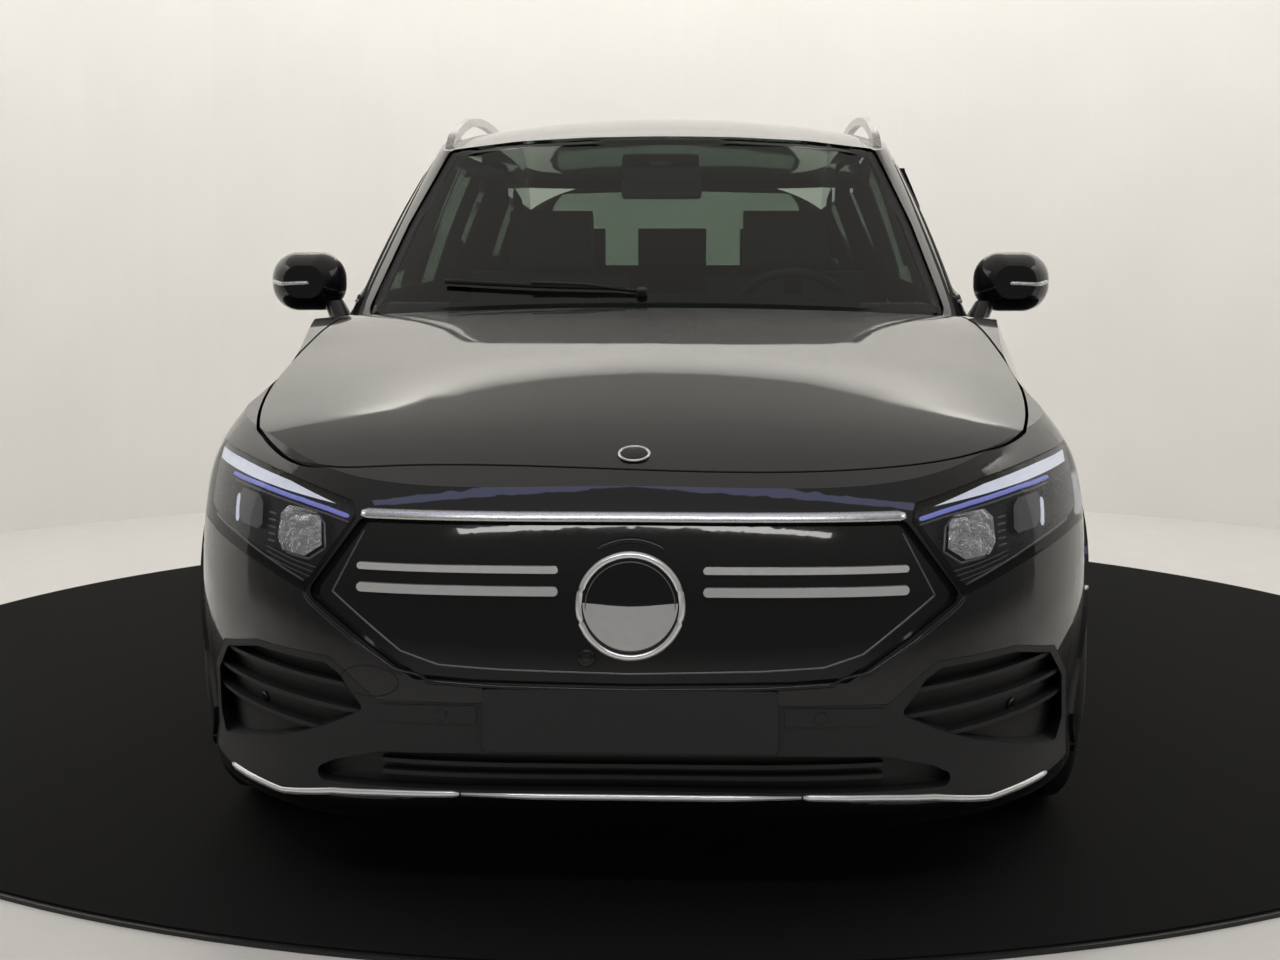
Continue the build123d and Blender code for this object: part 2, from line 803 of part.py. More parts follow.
with BuildPart() as body_side:
    add(side_inner.part)
    add(rear_side_lip.part)
    add(door_spaces.part, mode=Mode.SUBTRACT)
    add(fender_shadow.part, mode=Mode.SUBTRACT)
    add(front_prism(windscreen_outline, front_axle - 100, front_axle + 1350, radius=25), mode=Mode.SUBTRACT)
    add(tailgate_space(tailgate_gap), mode=Mode.SUBTRACT)
    add(side_prism(quarter_window, 300, far, radius=12), mode=Mode.SUBTRACT)
    add(tail_lamp_space, mode=Mode.SUBTRACT)
    for hinge_y in (front_door_lead + door_hinge_setback, rear_door_lead + door_hinge_setback):
        for hinge_z in door_hinge_heights:
            with BuildSketch(Plane.XY.offset(hinge_z)):
                with Locations(((door_hinge_x + belt_inner_x) / 2, hinge_y)):
                    Rectangle(door_hinge_x - belt_inner_x, 2 * hinge_boss_radius)
                with Locations((door_hinge_x, hinge_y)):
                    Circle(hinge_boss_radius)
                    Circle(hinge_pin_radius + fit, mode=Mode.SUBTRACT)
            extrude(amount=hinge_arm_height / 2, both=True)
save_pair(body_side.part, "body_side")

with BuildPart() as quarter_glass:
    add(side_prism(quarter_window, 300, far, radius=12, grow=-fit))
    add(cabin(glass_recess), mode=Mode.INTERSECT)
    add(cabin(glass_recess + glass_thickness), mode=Mode.SUBTRACT)
    mirror(about=Plane.YZ)
save(quarter_glass.part, "quarter_glass")


# ---------------------------------------------------------------- doors
def door(outline, window, lead):
    """A door's panel and window frame, with the pockets and pins of its two hinges."""
    with BuildPart() as frame:
        add(side_prism(outline, 400, far, radius=12))
        add(cabin(0), mode=Mode.INTERSECT)
        add(cabin(door_frame_depth), mode=Mode.SUBTRACT)
        add(
            front_prism(windscreen_outline, front_axle - 100, front_axle + 760, radius=25, grow=20),
            mode=Mode.SUBTRACT,
        )
        below_belt = [(front_axle, 800), (front_axle, belt_z), (rear_axle, belt_z), (rear_axle, 800)]
        add(side_prism(below_belt, 400, belt_inner_x), mode=Mode.SUBTRACT)
    with BuildPart() as leaf:
        add(side_prism(outline, belt_inner_x, far, radius=12))
        add(lower_body(0), mode=Mode.INTERSECT)
        add(lower_body(door_thickness), mode=Mode.SUBTRACT)
        add(cabin(door_thickness), mode=Mode.SUBTRACT)
        add(frame.part)
        add(side_prism(window, 300, far, radius=14), mode=Mode.SUBTRACT)
        hinge_y = lead + door_hinge_setback
        pocket_out = door_hinge_x + hinge_boss_radius + 1.5
        pocket_back = hinge_y + hinge_boss_radius + 3
        for hinge_z in door_hinge_heights:
            with BuildSketch(Plane.XY.offset(hinge_z)):
                with Locations(((pocket_out + belt_inner_x) / 2 - 20, (lead - 20 + pocket_back) / 2)):
                    Rectangle(pocket_out - belt_inner_x + 40, pocket_back - lead + 20)
            extrude(amount=hinge_arm_height / 2 + 6, both=True, mode=Mode.SUBTRACT)
            with BuildSketch(Plane.XY.offset(hinge_z)):
                with Locations((door_hinge_x, hinge_y)):
                    Circle(hinge_pin_radius)
            extrude(amount=hinge_arm_height / 2 + 8, both=True)
    return leaf.part


def door_glass(window):
    with BuildPart() as pane:
        add(side_prism(window, 300, far, radius=14, grow=-fit))
        add(cabin(glass_recess), mode=Mode.INTERSECT)
        add(cabin(glass_recess + glass_thickness), mode=Mode.SUBTRACT)
    return pane.part


save_pair(door(front_door_outline(frame_swing_gap), front_window, front_door_lead), "front_door")
save_pair(door(rear_door_outline(frame_swing_gap), rear_window, rear_door_lead), "rear_door")
save_pair(door_glass(front_window), "front_door_glass")
save_pair(door_glass(rear_window), "rear_door_glass")

mirror_y = front_axle + 770
mirror_foot_y = mirror_y - 40
with BuildPart() as door_mirror:
    sizes = ((-62, 104, 84, 40), (-20, 176, 136, 62), (38, 186, 148, 66), (52, 172, 136, 60))
    for step, width, height, corner in sizes:
        with BuildSketch(Plane.XZ.offset(-mirror_y - step)):
            with Locations((914, 1120)):
                RectangleRounded(width, height, corner)
    loft()
    with BuildSketch(Plane.XY.offset(1030)):
        with Locations((822, mirror_foot_y)):
            Ellipse(30, 44)
    with BuildSketch(Plane.XY.offset(1072)):
        with Locations((848, mirror_foot_y + 30)):
            Ellipse(26, 34)
    loft()
    add(under_deck(-fit), mode=Mode.SUBTRACT)
    add(cabin(-fit), mode=Mode.SUBTRACT)
save_pair(door_mirror.part, "mirror")

# ---------------------------------------------------------------- cowl, floor, bulkhead and front rails
floor_z = 292.0
floor_thickness = 20.0
bulkhead_y = front_axle + 440
heel_y = rear_axle - 560
load_floor_z = 600.0
rail_x = 430.0
rail_width = 60.0
rail_height = 100.0
rail_z = 480.0
tower_x = wheel_x - 203
tower_top = 862.0
tower_thickness = 20.0
strut_radius = 21.0
floor_side_profile = [
    (bulkhead_y, floor_z),
    (bulkhead_y, 980),
    (bulkhead_y + floor_thickness, 980),
    (bulkhead_y + floor_thickness, floor_z + floor_thickness),
    (heel_y, floor_z + floor_thickness),
    (heel_y + 30, 440),
    (rear_axle - 330, 460),
    (rear_axle - 290, load_floor_z),
    (tail - 120, load_floor_z),
    (tail - 120, 380),
    (tail - 140, 380),
    (tail - 140, load_floor_z - floor_thickness),
    (rear_axle - 275, load_floor_z - floor_thickness),
    (rear_axle - 315, 440),
    (heel_y + 46, 420),
    (heel_y + 16, floor_z),
]
with BuildPart() as floor_pan:
    add(side_prism(floor_side_profile, -far, far))
    add(lower_body(pillar_depth + fit), mode=Mode.INTERSECT)
    for side in (1, -1):
        add(arch(rear_axle, arch_radius + liner_thickness + seam, side * 545, side * far), mode=Mode.SUBTRACT)
        with BuildSketch(Plane.XZ.offset(-bulkhead_y - 5)):
            with Locations((side * rail_x, rail_z)):
                RectangleRounded(rail_width, rail_height, 8)
        extrude(amount=bulkhead_y + 5 - nose - 150)
    with BuildSketch(Plane.XZ.offset(-nose - 165)):
        with Locations((0, rail_z)):
            RectangleRounded(1000, 90, 8)
    extrude(amount=45)
    for side in (1, -1):
        tower = [
            (side * (rail_x - 30), rail_z),
            (side * (rail_x - 30), tower_top),
            (side * (tower_x + 62), tower_top),
            (side * (tower_x + 62), tower_top - tower_thickness),
            (side * (rail_x + 2), tower_top - tower_thickness),
            (side * (rail_x + 2), rail_z),
        ]
        add(front_prism(tower, front_axle - 70, front_axle + 70))
        with BuildSketch(Plane.XY.offset(rail_z)):
            with Locations((side * tower_x, front_axle)):
                Circle(strut_radius + 4)
        extrude(amount=400, mode=Mode.SUBTRACT)
save(floor_pan.part, "floor_pan")

with BuildPart() as cowl:
    trough = [
        (front_axle + 320, 800),
        (front_axle + 320, sky),
        (front_axle + 640, sky),
        (front_axle + 640, 800),
    ]
    add(side_prism(trough, -cowl_x + seam, cowl_x - seam))
    add(under_deck(cowl_drop), mode=Mode.INTERSECT)
    add(under_deck(cowl_drop + 14), mode=Mode.SUBTRACT)
    add(cabin(27), mode=Mode.SUBTRACT)
    for side in (1, -1):
        for cheek in (-1, 1):
            with BuildSketch(Plane.YZ.offset(side * hood_hinge_x + cheek * (hood_arm_width / 2 + 5))):
                with Locations((hood_hinge_y, hood_hinge_z - 14)):
                    Rectangle(2 * hinge_boss_radius, 28)
                with Locations((hood_hinge_y, hood_hinge_z)):
                    Circle(hinge_boss_radius)
            extrude(amount=3, both=True)
        with BuildSketch(Plane.YZ.offset(side * hood_hinge_x)):
            with Locations((hood_hinge_y, hood_hinge_z)):
                Circle(hinge_pin_radius)
        extrude(amount=hood_arm_width / 2 + 6, both=True)
save(cowl.part, "cowl")

# ---------------------------------------------------------------- tailgate
with BuildPart() as tailgate_inner:
    add(lower_body(tailgate_thickness))
    add(cabin(tailgate_thickness))
with BuildPart() as tailgate:
    add(tailgate_space(0))
    add(whole.part, mode=Mode.INTERSECT)
    add(tailgate_inner.part, mode=Mode.SUBTRACT)
    add(front_prism(tailgate_glass_outline, rear_axle + 300, tail + 100, radius=20), mode=Mode.SUBTRACT)
    with BuildSketch(Plane.YZ.offset(-far)):
        with Locations((tailgate_hinge_y, tailgate_hinge_z)):
            Circle(tailgate_edge_radius)
    extrude(amount=2 * far, mode=Mode.SUBTRACT)
    for side in (1, -1):
        with BuildSketch(Plane.YZ.offset(side * tailgate_hinge_x)):
            with Locations((tailgate_hinge_y, tailgate_hinge_z)):
                Circle(hinge_boss_radius)
            with Locations((tailgate_hinge_y + 16, tailgate_hinge_z - 2)):
                Rectangle(32, 2 * hinge_boss_radius - 4)
            with Locations((tailgate_hinge_y, tailgate_hinge_z)):
                Circle(hinge_pin_radius + fit, mode=Mode.SUBTRACT)
        extrude(amount=tailgate_lug_width / 2, both=True)
    add(tail_lamp_space, mode=Mode.SUBTRACT)
save(tailgate.part, "tailgate")

with BuildPart() as tailgate_glass:
    add(front_prism(tailgate_glass_outline, rear_axle + 300, tail + 100, radius=20, grow=-fit))
    add(cabin(glass_recess), mode=Mode.INTERSECT)
    add(cabin(glass_recess + glass_thickness), mode=Mode.SUBTRACT)
save(tailgate_glass.part, "tailgate_glass")

with BuildPart() as tail_lamps:
    add(tail_lamp_body(0))
    add(lower_body(0), mode=Mode.INTERSECT)
with BuildPart() as tail_lamp:
    add(tail_lamps.part)
    add(tailgate_space(tailgate_gap), mode=Mode.SUBTRACT)
    with BuildSketch(Plane.YZ):
        Rectangle(8000, 8000)
    extrude(amount=-far, mode=Mode.SUBTRACT)
save_pair(tail_lamp.part, "tail_lamp")
with BuildPart() as tailgate_lamp:
    add(tail_lamps.part)
    add(tailgate_space(0), mode=Mode.INTERSECT)
save(tailgate_lamp.part, "tailgate_lamp")

# ---------------------------------------------------------------- rear bumper
rear_bumper_side = [
    (bumper_rear_y + seam, 100),
    (bumper_rear_y + seam, tailgate_bottom - 5 - seam),
    (tail + 100, tailgate_bottom - 5 - seam),
    (tail + 100, 100),
]
with BuildPart() as rear_bumper:
    add(side_prism(rear_bumper_side, -far, far))
    add(lower_body(0), mode=Mode.INTERSECT)
    add(lower_body(skin_thickness), mode=Mode.SUBTRACT)
save(rear_bumper.part, "rear_bumper")

with BuildPart() as rear_plate:
    with BuildSketch(Plane.XZ.offset(-tail - plate_proud)):
        with Locations((0, rear_plate_z)):
            RectangleRounded(plate_width, plate_height, 8)
    extrude(amount=100 + plate_proud)
    add(lower_body(-fit), mode=Mode.SUBTRACT)
save(rear_plate.part, "rear_plate")

# ---------------------------------------------------------------- wheels
spoke_count = 5
rim_width = 216.0
barrel_thickness = 8.0
flange_radius = rim_radius + 11
hub_offset = 40.0
hub_radius = 72.0
spindle_radius = 22.0
disc_radius = 165.0
disc_thickness = 24.0
disc_x = -14.0


def spoke_point(axle, spoke, along, across):
    """Place a point of one spoke, given along and across it, on the wheel's disc."""
    turn = 90 + 360 / spoke_count * spoke
    return (
        axle + along * cos(radians(turn)) - across * sin(radians(turn)),
        tyre_radius + along * sin(radians(turn)) + across * cos(radians(turn)),
    )


def wheel_rim(axle):
    """Rim, spokes, hub and brake disc, turning as one about the spindle."""
    centre = Plane(origin=(wheel_x, axle, tyre_radius), x_dir=(1, 0, 0), z_dir=(0, -1, 0))
    half = rim_width / 2
    inner = rim_radius - barrel_thickness
    with BuildPart() as rim:
        with BuildSketch(Plane.YZ.offset(wheel_x + hub_offset)):
            for spoke in range(spoke_count):
                for m in (1, -1):
                    bar = [(30, m * 6), (62, m * 34), (inner - 1, m * 60), (inner + 5, m * 26), (96, m * 7)]
                    with BuildLine():
                        Polyline([spoke_point(axle, spoke, r, t) for r, t in bar], close=True)
                    make_face()
        extrude(amount=half - hub_offset)
        with BuildSketch(centre):
            with BuildLine():
                Polyline(
                    (hub_offset + 22, 0),
                    (hub_offset + 26, 70),
                    (half - 4, inner + 10),
                    (half + 40, 0),
                    close=True,
                )
            make_face()
            with BuildLine():
                Polyline(
                    (hub_offset - 1, 74),
                    (half - 34, inner + 10),
                    (hub_offset - 1, inner + 10),
                    close=True,
                )
            make_face()
        revolve(axis=Axis(centre.origin, (1, 0, 0)), mode=Mode.SUBTRACT)
        with BuildSketch(centre):
            with BuildLine():
                Polyline(
                    (-half, flange_radius),
                    (-half + 8, flange_radius),
                    (-half + 10, rim_radius),
                    (half - 10, rim_radius),
                    (half - 8, flange_radius),
                    (half, flange_radius),
                    (half, inner + 4),
                    (half - 30, inner),
                    (-half + 20, inner),
                    (-half, inner + 6),
                    close=True,
                )
            make_face()
        revolve(axis=Axis(centre.origin, (1, 0, 0)))
        with BuildSketch(centre):
            with BuildLine():
                Polyline(
                    (disc_x - 4, spindle_radius + fit),
                    (disc_x - 4, 40),
                    (hub_offset, 40),
                    (hub_offset, 68),
                    (disc_x, 68),
                    (disc_x, disc_radius),
                    (disc_x + disc_thickness, disc_radius),
                    (disc_x + disc_thickness, 78),
                    (hub_offset, 78),
                    (hub_offset + 24, 66),
                    (hub_offset + 30, 34),
                    (hub_offset + 30, 0),
                    (hub_offset + 10, 0),
                    (hub_offset + 10, spindle_radius + fit),
                    close=True,
                )
            make_face()
        revolve(axis=Axis(centre.origin, (1, 0, 0)))
    return rim.part


def tyre(axle):
    centre = Plane(origin=(wheel_x, axle, tyre_radius), x_dir=(1, 0, 0), z_dir=(0, -1, 0))
    half = tyre_width / 2
    with BuildPart() as ring:
        with BuildSketch(centre):
            with BuildLine():
                bead = half - 20.5
                wall = [(half - 8, 271), (half, 302), (half - 6, 336)]
                crown = [(half - 19, tyre_radius - 5), (half - 50, tyre_radius - 1), (half - 75, tyre_radius)]
                outer = wall + crown
                Polyline(
                    (-outer[0][0], outer[0][1]),
                    (-bead, flange_radius + 3),
                    (-bead, rim_radius + fit),
                    (bead, rim_radius + fit),
                    (bead, flange_radius + 3),
                    outer[0],
                )
                Spline([(x, r) for x, r in outer])
                Line(outer[-1], (-outer[-1][0], tyre_radius))
                Spline([(-x, r) for x, r in reversed(outer)])
            make_face()
        revolve(axis=Axis(centre.origin, (1, 0, 0)))
    return ring.part


for name, axle in (("front", front_axle), ("rear", rear_axle)):
    save_pair(wheel_rim(axle), f"{name}_rim")
    save_pair(tyre(axle), f"{name}_tyre")

# ---------------------------------------------------------------- knuckles, arms and frames
kingpin_foot = (wheel_x - 47, 215.0)
kingpin_top = (wheel_x - 205, 850.0)
stud_radius = 8.0
kingpin_lean = (kingpin_top[0] - kingpin_foot[0], 0, kingpin_top[1] - kingpin_foot[1])


def hub_carrier(axle, caliper_side):
    """Bearing carrier with its spindle and caliper, shared by the front knuckles and the rear carriers."""
    with BuildPart() as carrier:
        with BuildSketch(Plane.YZ.offset(wheel_x - 72)):
            with Locations((axle, tyre_radius)):
                Circle(54)
        extrude(amount=48)
        with BuildSketch(Plane.YZ.offset(wheel_x - 40)):
            with Locations((axle, tyre_radius)):
                Circle(spindle_radius)
        extrude(amount=40 + hub_offset + 8)
        with BuildSketch(Plane.YZ.offset(wheel_x - 52)):
            with Locations((axle, tyre_radius)):
                Circle(190)
                Circle(118, mode=Mode.SUBTRACT)
            with Locations((axle + caliper_side * 154, tyre_radius)):
                Rectangle(92, 140, mode=Mode.INTERSECT)
        extrude(amount=84)
        with BuildSketch(Plane.YZ.offset(wheel_x + disc_x - 5)):
            with Locations((axle, tyre_radius)):
                Circle(disc_radius + 5)
                Circle(56, mode=Mode.SUBTRACT)
        extrude(amount=disc_thickness + 10, mode=Mode.SUBTRACT)
        with BuildSketch(Plane.YZ.offset(wheel_x - 52)):
            with Locations((axle + caliper_side * 88, tyre_radius)):
                Rectangle(90, 50)
        extrude(amount=28)
    return carrier.part


with BuildPart() as knuckle:
    add(hub_carrier(front_axle, 1))
    with BuildSketch(Plane.XZ.offset(-front_axle - 24)):
        with BuildLine():
            Polyline(
                (kingpin_foot[0] - 16, 204),
                (kingpin_foot[0] + 20, 204),
                (wheel_x - 24, 330),
                (wheel_x - 24, 400),
                (wheel_x - 60, 470),
                (wheel_x - 92, 520),
                (wheel_x - 140, 520),
                (wheel_x - 128, 460),
                (wheel_x - 74, 400),
                (wheel_x - 72, 300),
                close=True,
            )
        make_face()
    extrude(amount=48)
    with BuildSketch(Plane(origin=(wheel_x - 105, front_axle, 450), x_dir=(0, 1, 0), z_dir=kingpin_lean)):
        Circle(strut_radius)
    extrude(amount=400)
    with BuildSketch(Plane(origin=(wheel_x - 47, front_axle, 215), x_dir=(0, 1, 0), z_dir=kingpin_lean)):
        Circle(stud_radius + fit)
    extrude(amount=25, both=True, mode=Mode.SUBTRACT)
save_pair(knuckle.part, "knuckle")

with BuildPart() as front_subframe:
    with BuildSketch(Plane.XY.offset(235)):
        with Locations((0, front_axle + 70)):
            RectangleRounded(2 * rail_x + 60, 420, 30)
            RectangleRounded(2 * rail_x - 160, 220, 30, mode=Mode.SUBTRACT)
    extrude(amount=60)
    for side in (1, -1):
        with BuildSketch(Plane.XY.offset(285)):
            with Locations((side * rail_x, front_axle - 105), (side * rail_x, front_axle + 245)):
                Rectangle(50, 60)
        extrude(amount=rail_z - rail_height / 2 - fit - 285)
        with BuildSketch(Plane.XY.offset(186)):
            with BuildLine():
                Polyline(
                    (side * (rail_x - 40), front_axle - 60),
                    (side * (kingpin_foot[0] - 20), front_axle - 26),
                    (side * (kingpin_foot[0] + 12), front_axle - 18),
                    (side * (kingpin_foot[0] + 12), front_axle + 18),
                    (side * (kingpin_foot[0] - 20), front_axle + 26),
                    (side * (rail_x - 40), front_axle + 250),
                    close=True,
                )
            make_face()
        extrude(amount=12)
        with BuildSketch(Plane.XY.offset(190)):
            with Locations((side * (rail_x - 15), front_axle - 30), (side * (rail_x - 15), front_axle + 200)):
                Rectangle(50, 50)
        extrude(amount=60)
        stud_plane = Plane(
            origin=(side * kingpin_foot[0], front_axle, kingpin_foot[1]),
            x_dir=(0, 1, 0),
            z_dir=(side * kingpin_lean[0], 0, kingpin_lean[2]),
        )
        with BuildSketch(stud_plane.offset(-24)):
            Circle(stud_radius)
        extrude(amount=45)
save(front_subframe.part, "front_subframe")

with BuildPart() as rear_subframe:
    add(hub_carrier(rear_axle, 1))
    with BuildSketch(Plane.XY.offset(245)):
        with BuildLine():
            Polyline(
                (440, rear_axle - 110),
                (wheel_x - 72, rear_axle - 38),
                (wheel_x - 30, rear_axle - 38),
                (wheel_x - 30, rear_axle + 38),
                (wheel_x - 72, rear_axle + 38),
                (440, rear_axle + 110),
                close=True,
            )
        make_face()
    extrude(amount=40)
    with BuildSketch(Plane.XY.offset(265)):
        with Locations((wheel_x - 51, rear_axle)):
            Rectangle(42, 76)
    extrude(amount=90)
    with BuildSketch(Plane.XY.offset(270)):
        with Locations((500, rear_axle + 40)):
            Circle(40)
    extrude(amount=load_floor_z - floor_thickness - fit - 270)
    mirror(about=Plane.YZ)
    with BuildSketch(Plane.XY.offset(245)):
        with Locations((0, rear_axle)):
            RectangleRounded(960, 300, 30)
            RectangleRounded(760, 140, 30, mode=Mode.SUBTRACT)
    extrude(amount=60)
save(rear_subframe.part, "rear_subframe")

# ---------------------------------------------------------------- drive unit, battery and wheel liners
with BuildPart() as drive_unit:
    with BuildSketch(Plane.XY.offset(295 + fit)):
        with Locations((0, front_axle + 70)):
            RectangleRounded(rail_x + 250, 260, 40)
    extrude(amount=340)
save(drive_unit.part, "drive_unit")

with BuildPart() as battery_pack:
    with BuildSketch(Plane.XY.offset(160)):
        with Locations((0, (front_axle + rear_axle) / 2 - 10)):
            RectangleRounded(1200, wheelbase - 1200, 40)
    extrude(amount=floor_z - fit - 160)
save(battery_pack.part, "battery_pack")

with BuildPart() as wheel_liners:
    for axle, near in ((front_axle, 485), (rear_axle, 545)):
        add(arch(axle, arch_radius + liner_thickness, near, far))
        add(arch(axle, arch_radius, near - 5, far), mode=Mode.SUBTRACT)
    add(lower_body(skin_thickness + fit), mode=Mode.INTERSECT)
    with BuildSketch(Plane.XY):
        Rectangle(4000, 6000)
    extrude(amount=260, mode=Mode.SUBTRACT)
    with BuildSketch(Plane(origin=(wheel_x - 105, front_axle, 450), x_dir=(0, 1, 0), z_dir=kingpin_lean)):
        Circle(strut_radius + 8)
    extrude(amount=500, mode=Mode.SUBTRACT)
    mirror(about=Plane.YZ)
save(wheel_liners.part, "wheel_liners")

# ---------------------------------------------------------------- seats, dashboard and steering wheel
seat_x = 370.0
seat_y = 110.0
floor_top = floor_z + floor_thickness
with BuildPart() as front_seats:
    cushion = [
        (seat_y - 260, 470),
        (seat_y - 270, 560),
        (seat_y - 230, 590),
        (seat_y + 200, 560),
        (seat_y + 360, 1130),
        (seat_y + 440, 1140),
        (seat_y + 470, 1100),
        (seat_y + 330, 470),
    ]
    add(side_prism(cushion, seat_x - 250, seat_x + 250, radius=24))
    with BuildSketch(Plane.YZ.offset(seat_x)):
        with Locations(Location((seat_y + 432, 1225, 0), (0, 0, -12))):
            RectangleRounded(110, 200, 40)
    extrude(amount=130, both=True)
    for x in (seat_x - 70, seat_x + 70):
        with BuildSketch(Plane.YZ.offset(x)):
            with Locations((seat_y + 418, 1130)):
                Rectangle(20, 90)
        extrude(amount=10, both=True)
    for x in (seat_x - 190, seat_x + 190):
        with BuildSketch(Plane.YZ.offset(x)):
            with Locations((seat_y + 30, (floor_top + fit + 480) / 2)):
                Rectangle(420, 480 - floor_top - fit)
        extrude(amount=20, both=True)
    mirror(about=Plane.YZ)
save(front_seats.part, "front_seats")

with BuildPart() as rear_seat:
    bench = [
        (690, 530),
        (690, 605),
        (1010, 640),
        (1180, 1130),
        (1205, 1150),
        (1290, 1150),
        (1112, load_floor_z + 0.8),
        (1090, load_floor_z + 0.8),
        (1050, 460),
        (870, 442),
    ]
    add(side_prism(bench, -535, 535))
    for x in (-360, 0, 360):
        with BuildSketch(Plane.YZ.offset(x)):
            with Locations((1236, 1205)):
                RectangleRounded(90, 150, 36)
        extrude(amount=120, both=True)
save(rear_seat.part, "rear_seat")

column_x = 360.0
column_tilt = 25.0
wheel_centre = (column_x, -281.0, 985.0)
column_axis = (0, cos(radians(column_tilt)), sin(radians(column_tilt)))
steering_plane = Plane(origin=wheel_centre, x_dir=(1, 0, 0), z_dir=column_axis)
ring_plane = Plane(origin=wheel_centre, x_dir=(1, 0, 0), z_dir=(0, -column_axis[2], column_axis[1]))
with BuildPart() as dashboard:
    fascia = [
        (bulkhead_y + floor_thickness + fit, 640),
        (bulkhead_y + floor_thickness + fit, 930),
        (-690, 930),
        (-675, 996),
        (-540, 1006),
        (-480, 960),
        (-470, 860),
        (-560, 680),
    ]
    add(side_prism(fascia, -650, 650))
    console = [
        (bulkhead_y + floor_thickness + fit, floor_top + fit),
        (bulkhead_y + floor_thickness + fit, 700),
        (-520, 760),
        (-470, 600),
        (120, 570),
        (250, 560),
        (250, floor_top + fit),
    ]
    add(side_prism(console, -115, 115))
    with BuildSketch(steering_plane.offset(-50)):
        Circle(34)
    extrude(amount=-220)
save(dashboard.part, "dashboard")

wheel_ring_radius = 172.0
wheel_grip_radius = 14.0
with BuildPart() as steering_wheel:
    with BuildSketch(ring_plane):
        with Locations((wheel_ring_radius, 0)):
            Circle(wheel_grip_radius)
    revolve(axis=Axis(wheel_centre, column_axis))
    with BuildSketch(steering_plane.offset(-50 + fit)):
        Circle(40)
    extrude(amount=50)
    with BuildSketch(steering_plane.offset(-12)):
        Circle(64)
        with Locations((0, 0)):
            Rectangle(2 * wheel_ring_radius - 8, 40)
        with Locations((0, -wheel_ring_radius / 2)):
            Rectangle(50, wheel_ring_radius - 4)
    extrude(amount=24)
save(steering_wheel.part, "steering_wheel")

# ---------------------------------------------------------------- roof rails
rail_inner_x = 592.0
with BuildPart() as roof_rails:
    with BuildSketch(Plane.YZ.offset(rail_inner_x)):
        with BuildLine():
            Spline(
                (-150, 1470),
                (-100, 1506),
                (60, 1560),
                (300, 1598),
                (620, 1617),
                (950, 1613),
                (1250, 1592),
                (1450, 1556),
                (1560, 1500),
                (1590, 1470),
            )
            Line((1590, 1470), (-150, 1470))
        make_face()
        with BuildLine():
            Spline((60, 1530), (300, 1572), (620, 1593), (950, 1589), (1250, 1566), (1400, 1534))
            Line((1400, 1534), (1400, 1400))
            Line((1400, 1400), (60, 1400))
            Line((60, 1400), (60, 1530))
        make_face(mode=Mode.SUBTRACT)
    extrude(amount=22)
    add(cabin(-fit), mode=Mode.SUBTRACT)
    mirror(about=Plane.YZ)
save(roof_rails.part, "roof_rails")
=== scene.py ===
import json
from math import cos, pi, radians, sin

import bmesh
import bpy
from mathutils import Matrix, Vector
from mathutils.bvhtree import BVHTree


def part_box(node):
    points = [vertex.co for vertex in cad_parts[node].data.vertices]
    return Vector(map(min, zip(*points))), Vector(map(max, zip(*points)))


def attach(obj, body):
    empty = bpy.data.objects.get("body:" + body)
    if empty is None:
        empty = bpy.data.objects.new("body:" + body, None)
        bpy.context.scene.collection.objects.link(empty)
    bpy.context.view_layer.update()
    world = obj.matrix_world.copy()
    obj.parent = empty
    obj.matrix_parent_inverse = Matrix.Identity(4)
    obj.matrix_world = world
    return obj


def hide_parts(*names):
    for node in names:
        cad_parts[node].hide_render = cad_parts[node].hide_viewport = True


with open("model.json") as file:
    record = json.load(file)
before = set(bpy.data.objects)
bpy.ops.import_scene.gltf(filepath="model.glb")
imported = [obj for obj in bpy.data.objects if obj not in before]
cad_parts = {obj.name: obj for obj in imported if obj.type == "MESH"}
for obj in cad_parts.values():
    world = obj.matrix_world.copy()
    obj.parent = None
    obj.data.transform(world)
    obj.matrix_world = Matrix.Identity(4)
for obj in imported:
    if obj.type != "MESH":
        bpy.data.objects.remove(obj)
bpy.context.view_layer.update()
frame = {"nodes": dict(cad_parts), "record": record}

nodes = frame["nodes"]


# ---------------------------------------------------------------- materials
def new_material(name):
    mat = bpy.data.materials.new(name)
    mat.use_nodes = True
    tree = mat.node_tree
    tree.nodes.clear()
    out = tree.nodes.new("ShaderNodeOutputMaterial")
    return mat, tree, out


def noise(tree, scale):
    coords = tree.nodes.new("ShaderNodeTexCoord")
    tex = tree.nodes.new("ShaderNodeTexNoise")
    tex.inputs["Scale"].default_value = scale
    tex.inputs["Detail"].default_value = 3.0
    tex.inputs["Roughness"].default_value = 0.5
    tree.links.new(coords.outputs["Object"], tex.inputs["Vector"])
    return tex


def mapped(tree, source, low, high):
    """A texture's middle values spread over low..high."""
    node = tree.nodes.new("ShaderNodeMapRange")
    node.inputs["From Min"].default_value = 0.3
    node.inputs["From Max"].default_value = 0.7
    node.inputs["To Min"].default_value = low
    node.inputs["To Max"].default_value = high
    tree.links.new(source.outputs["Fac"], node.inputs["Value"])
    return node


def shaded(tree, tex, low, high):
    """A colour between low and high, following a texture."""
    mix = tree.nodes.new("ShaderNodeMix")
    mix.data_type = "RGBA"
    mix.inputs[6].default_value = (*low, 1)
    mix.inputs[7].default_value = (*high, 1)
    tree.links.new(tex.outputs["Fac"], mix.inputs[0])
    return mix


def bumped(tree, tex, strength, distance):
    """The surface's grain, as high as distance where strength is 1."""
    node = tree.nodes.new("ShaderNodeBump")
    node.inputs["Strength"].default_value = strength
    node.inputs["Distance"].default_value = distance
    tree.links.new(tex.outputs["Fac"], node.inputs["Height"])
    return node


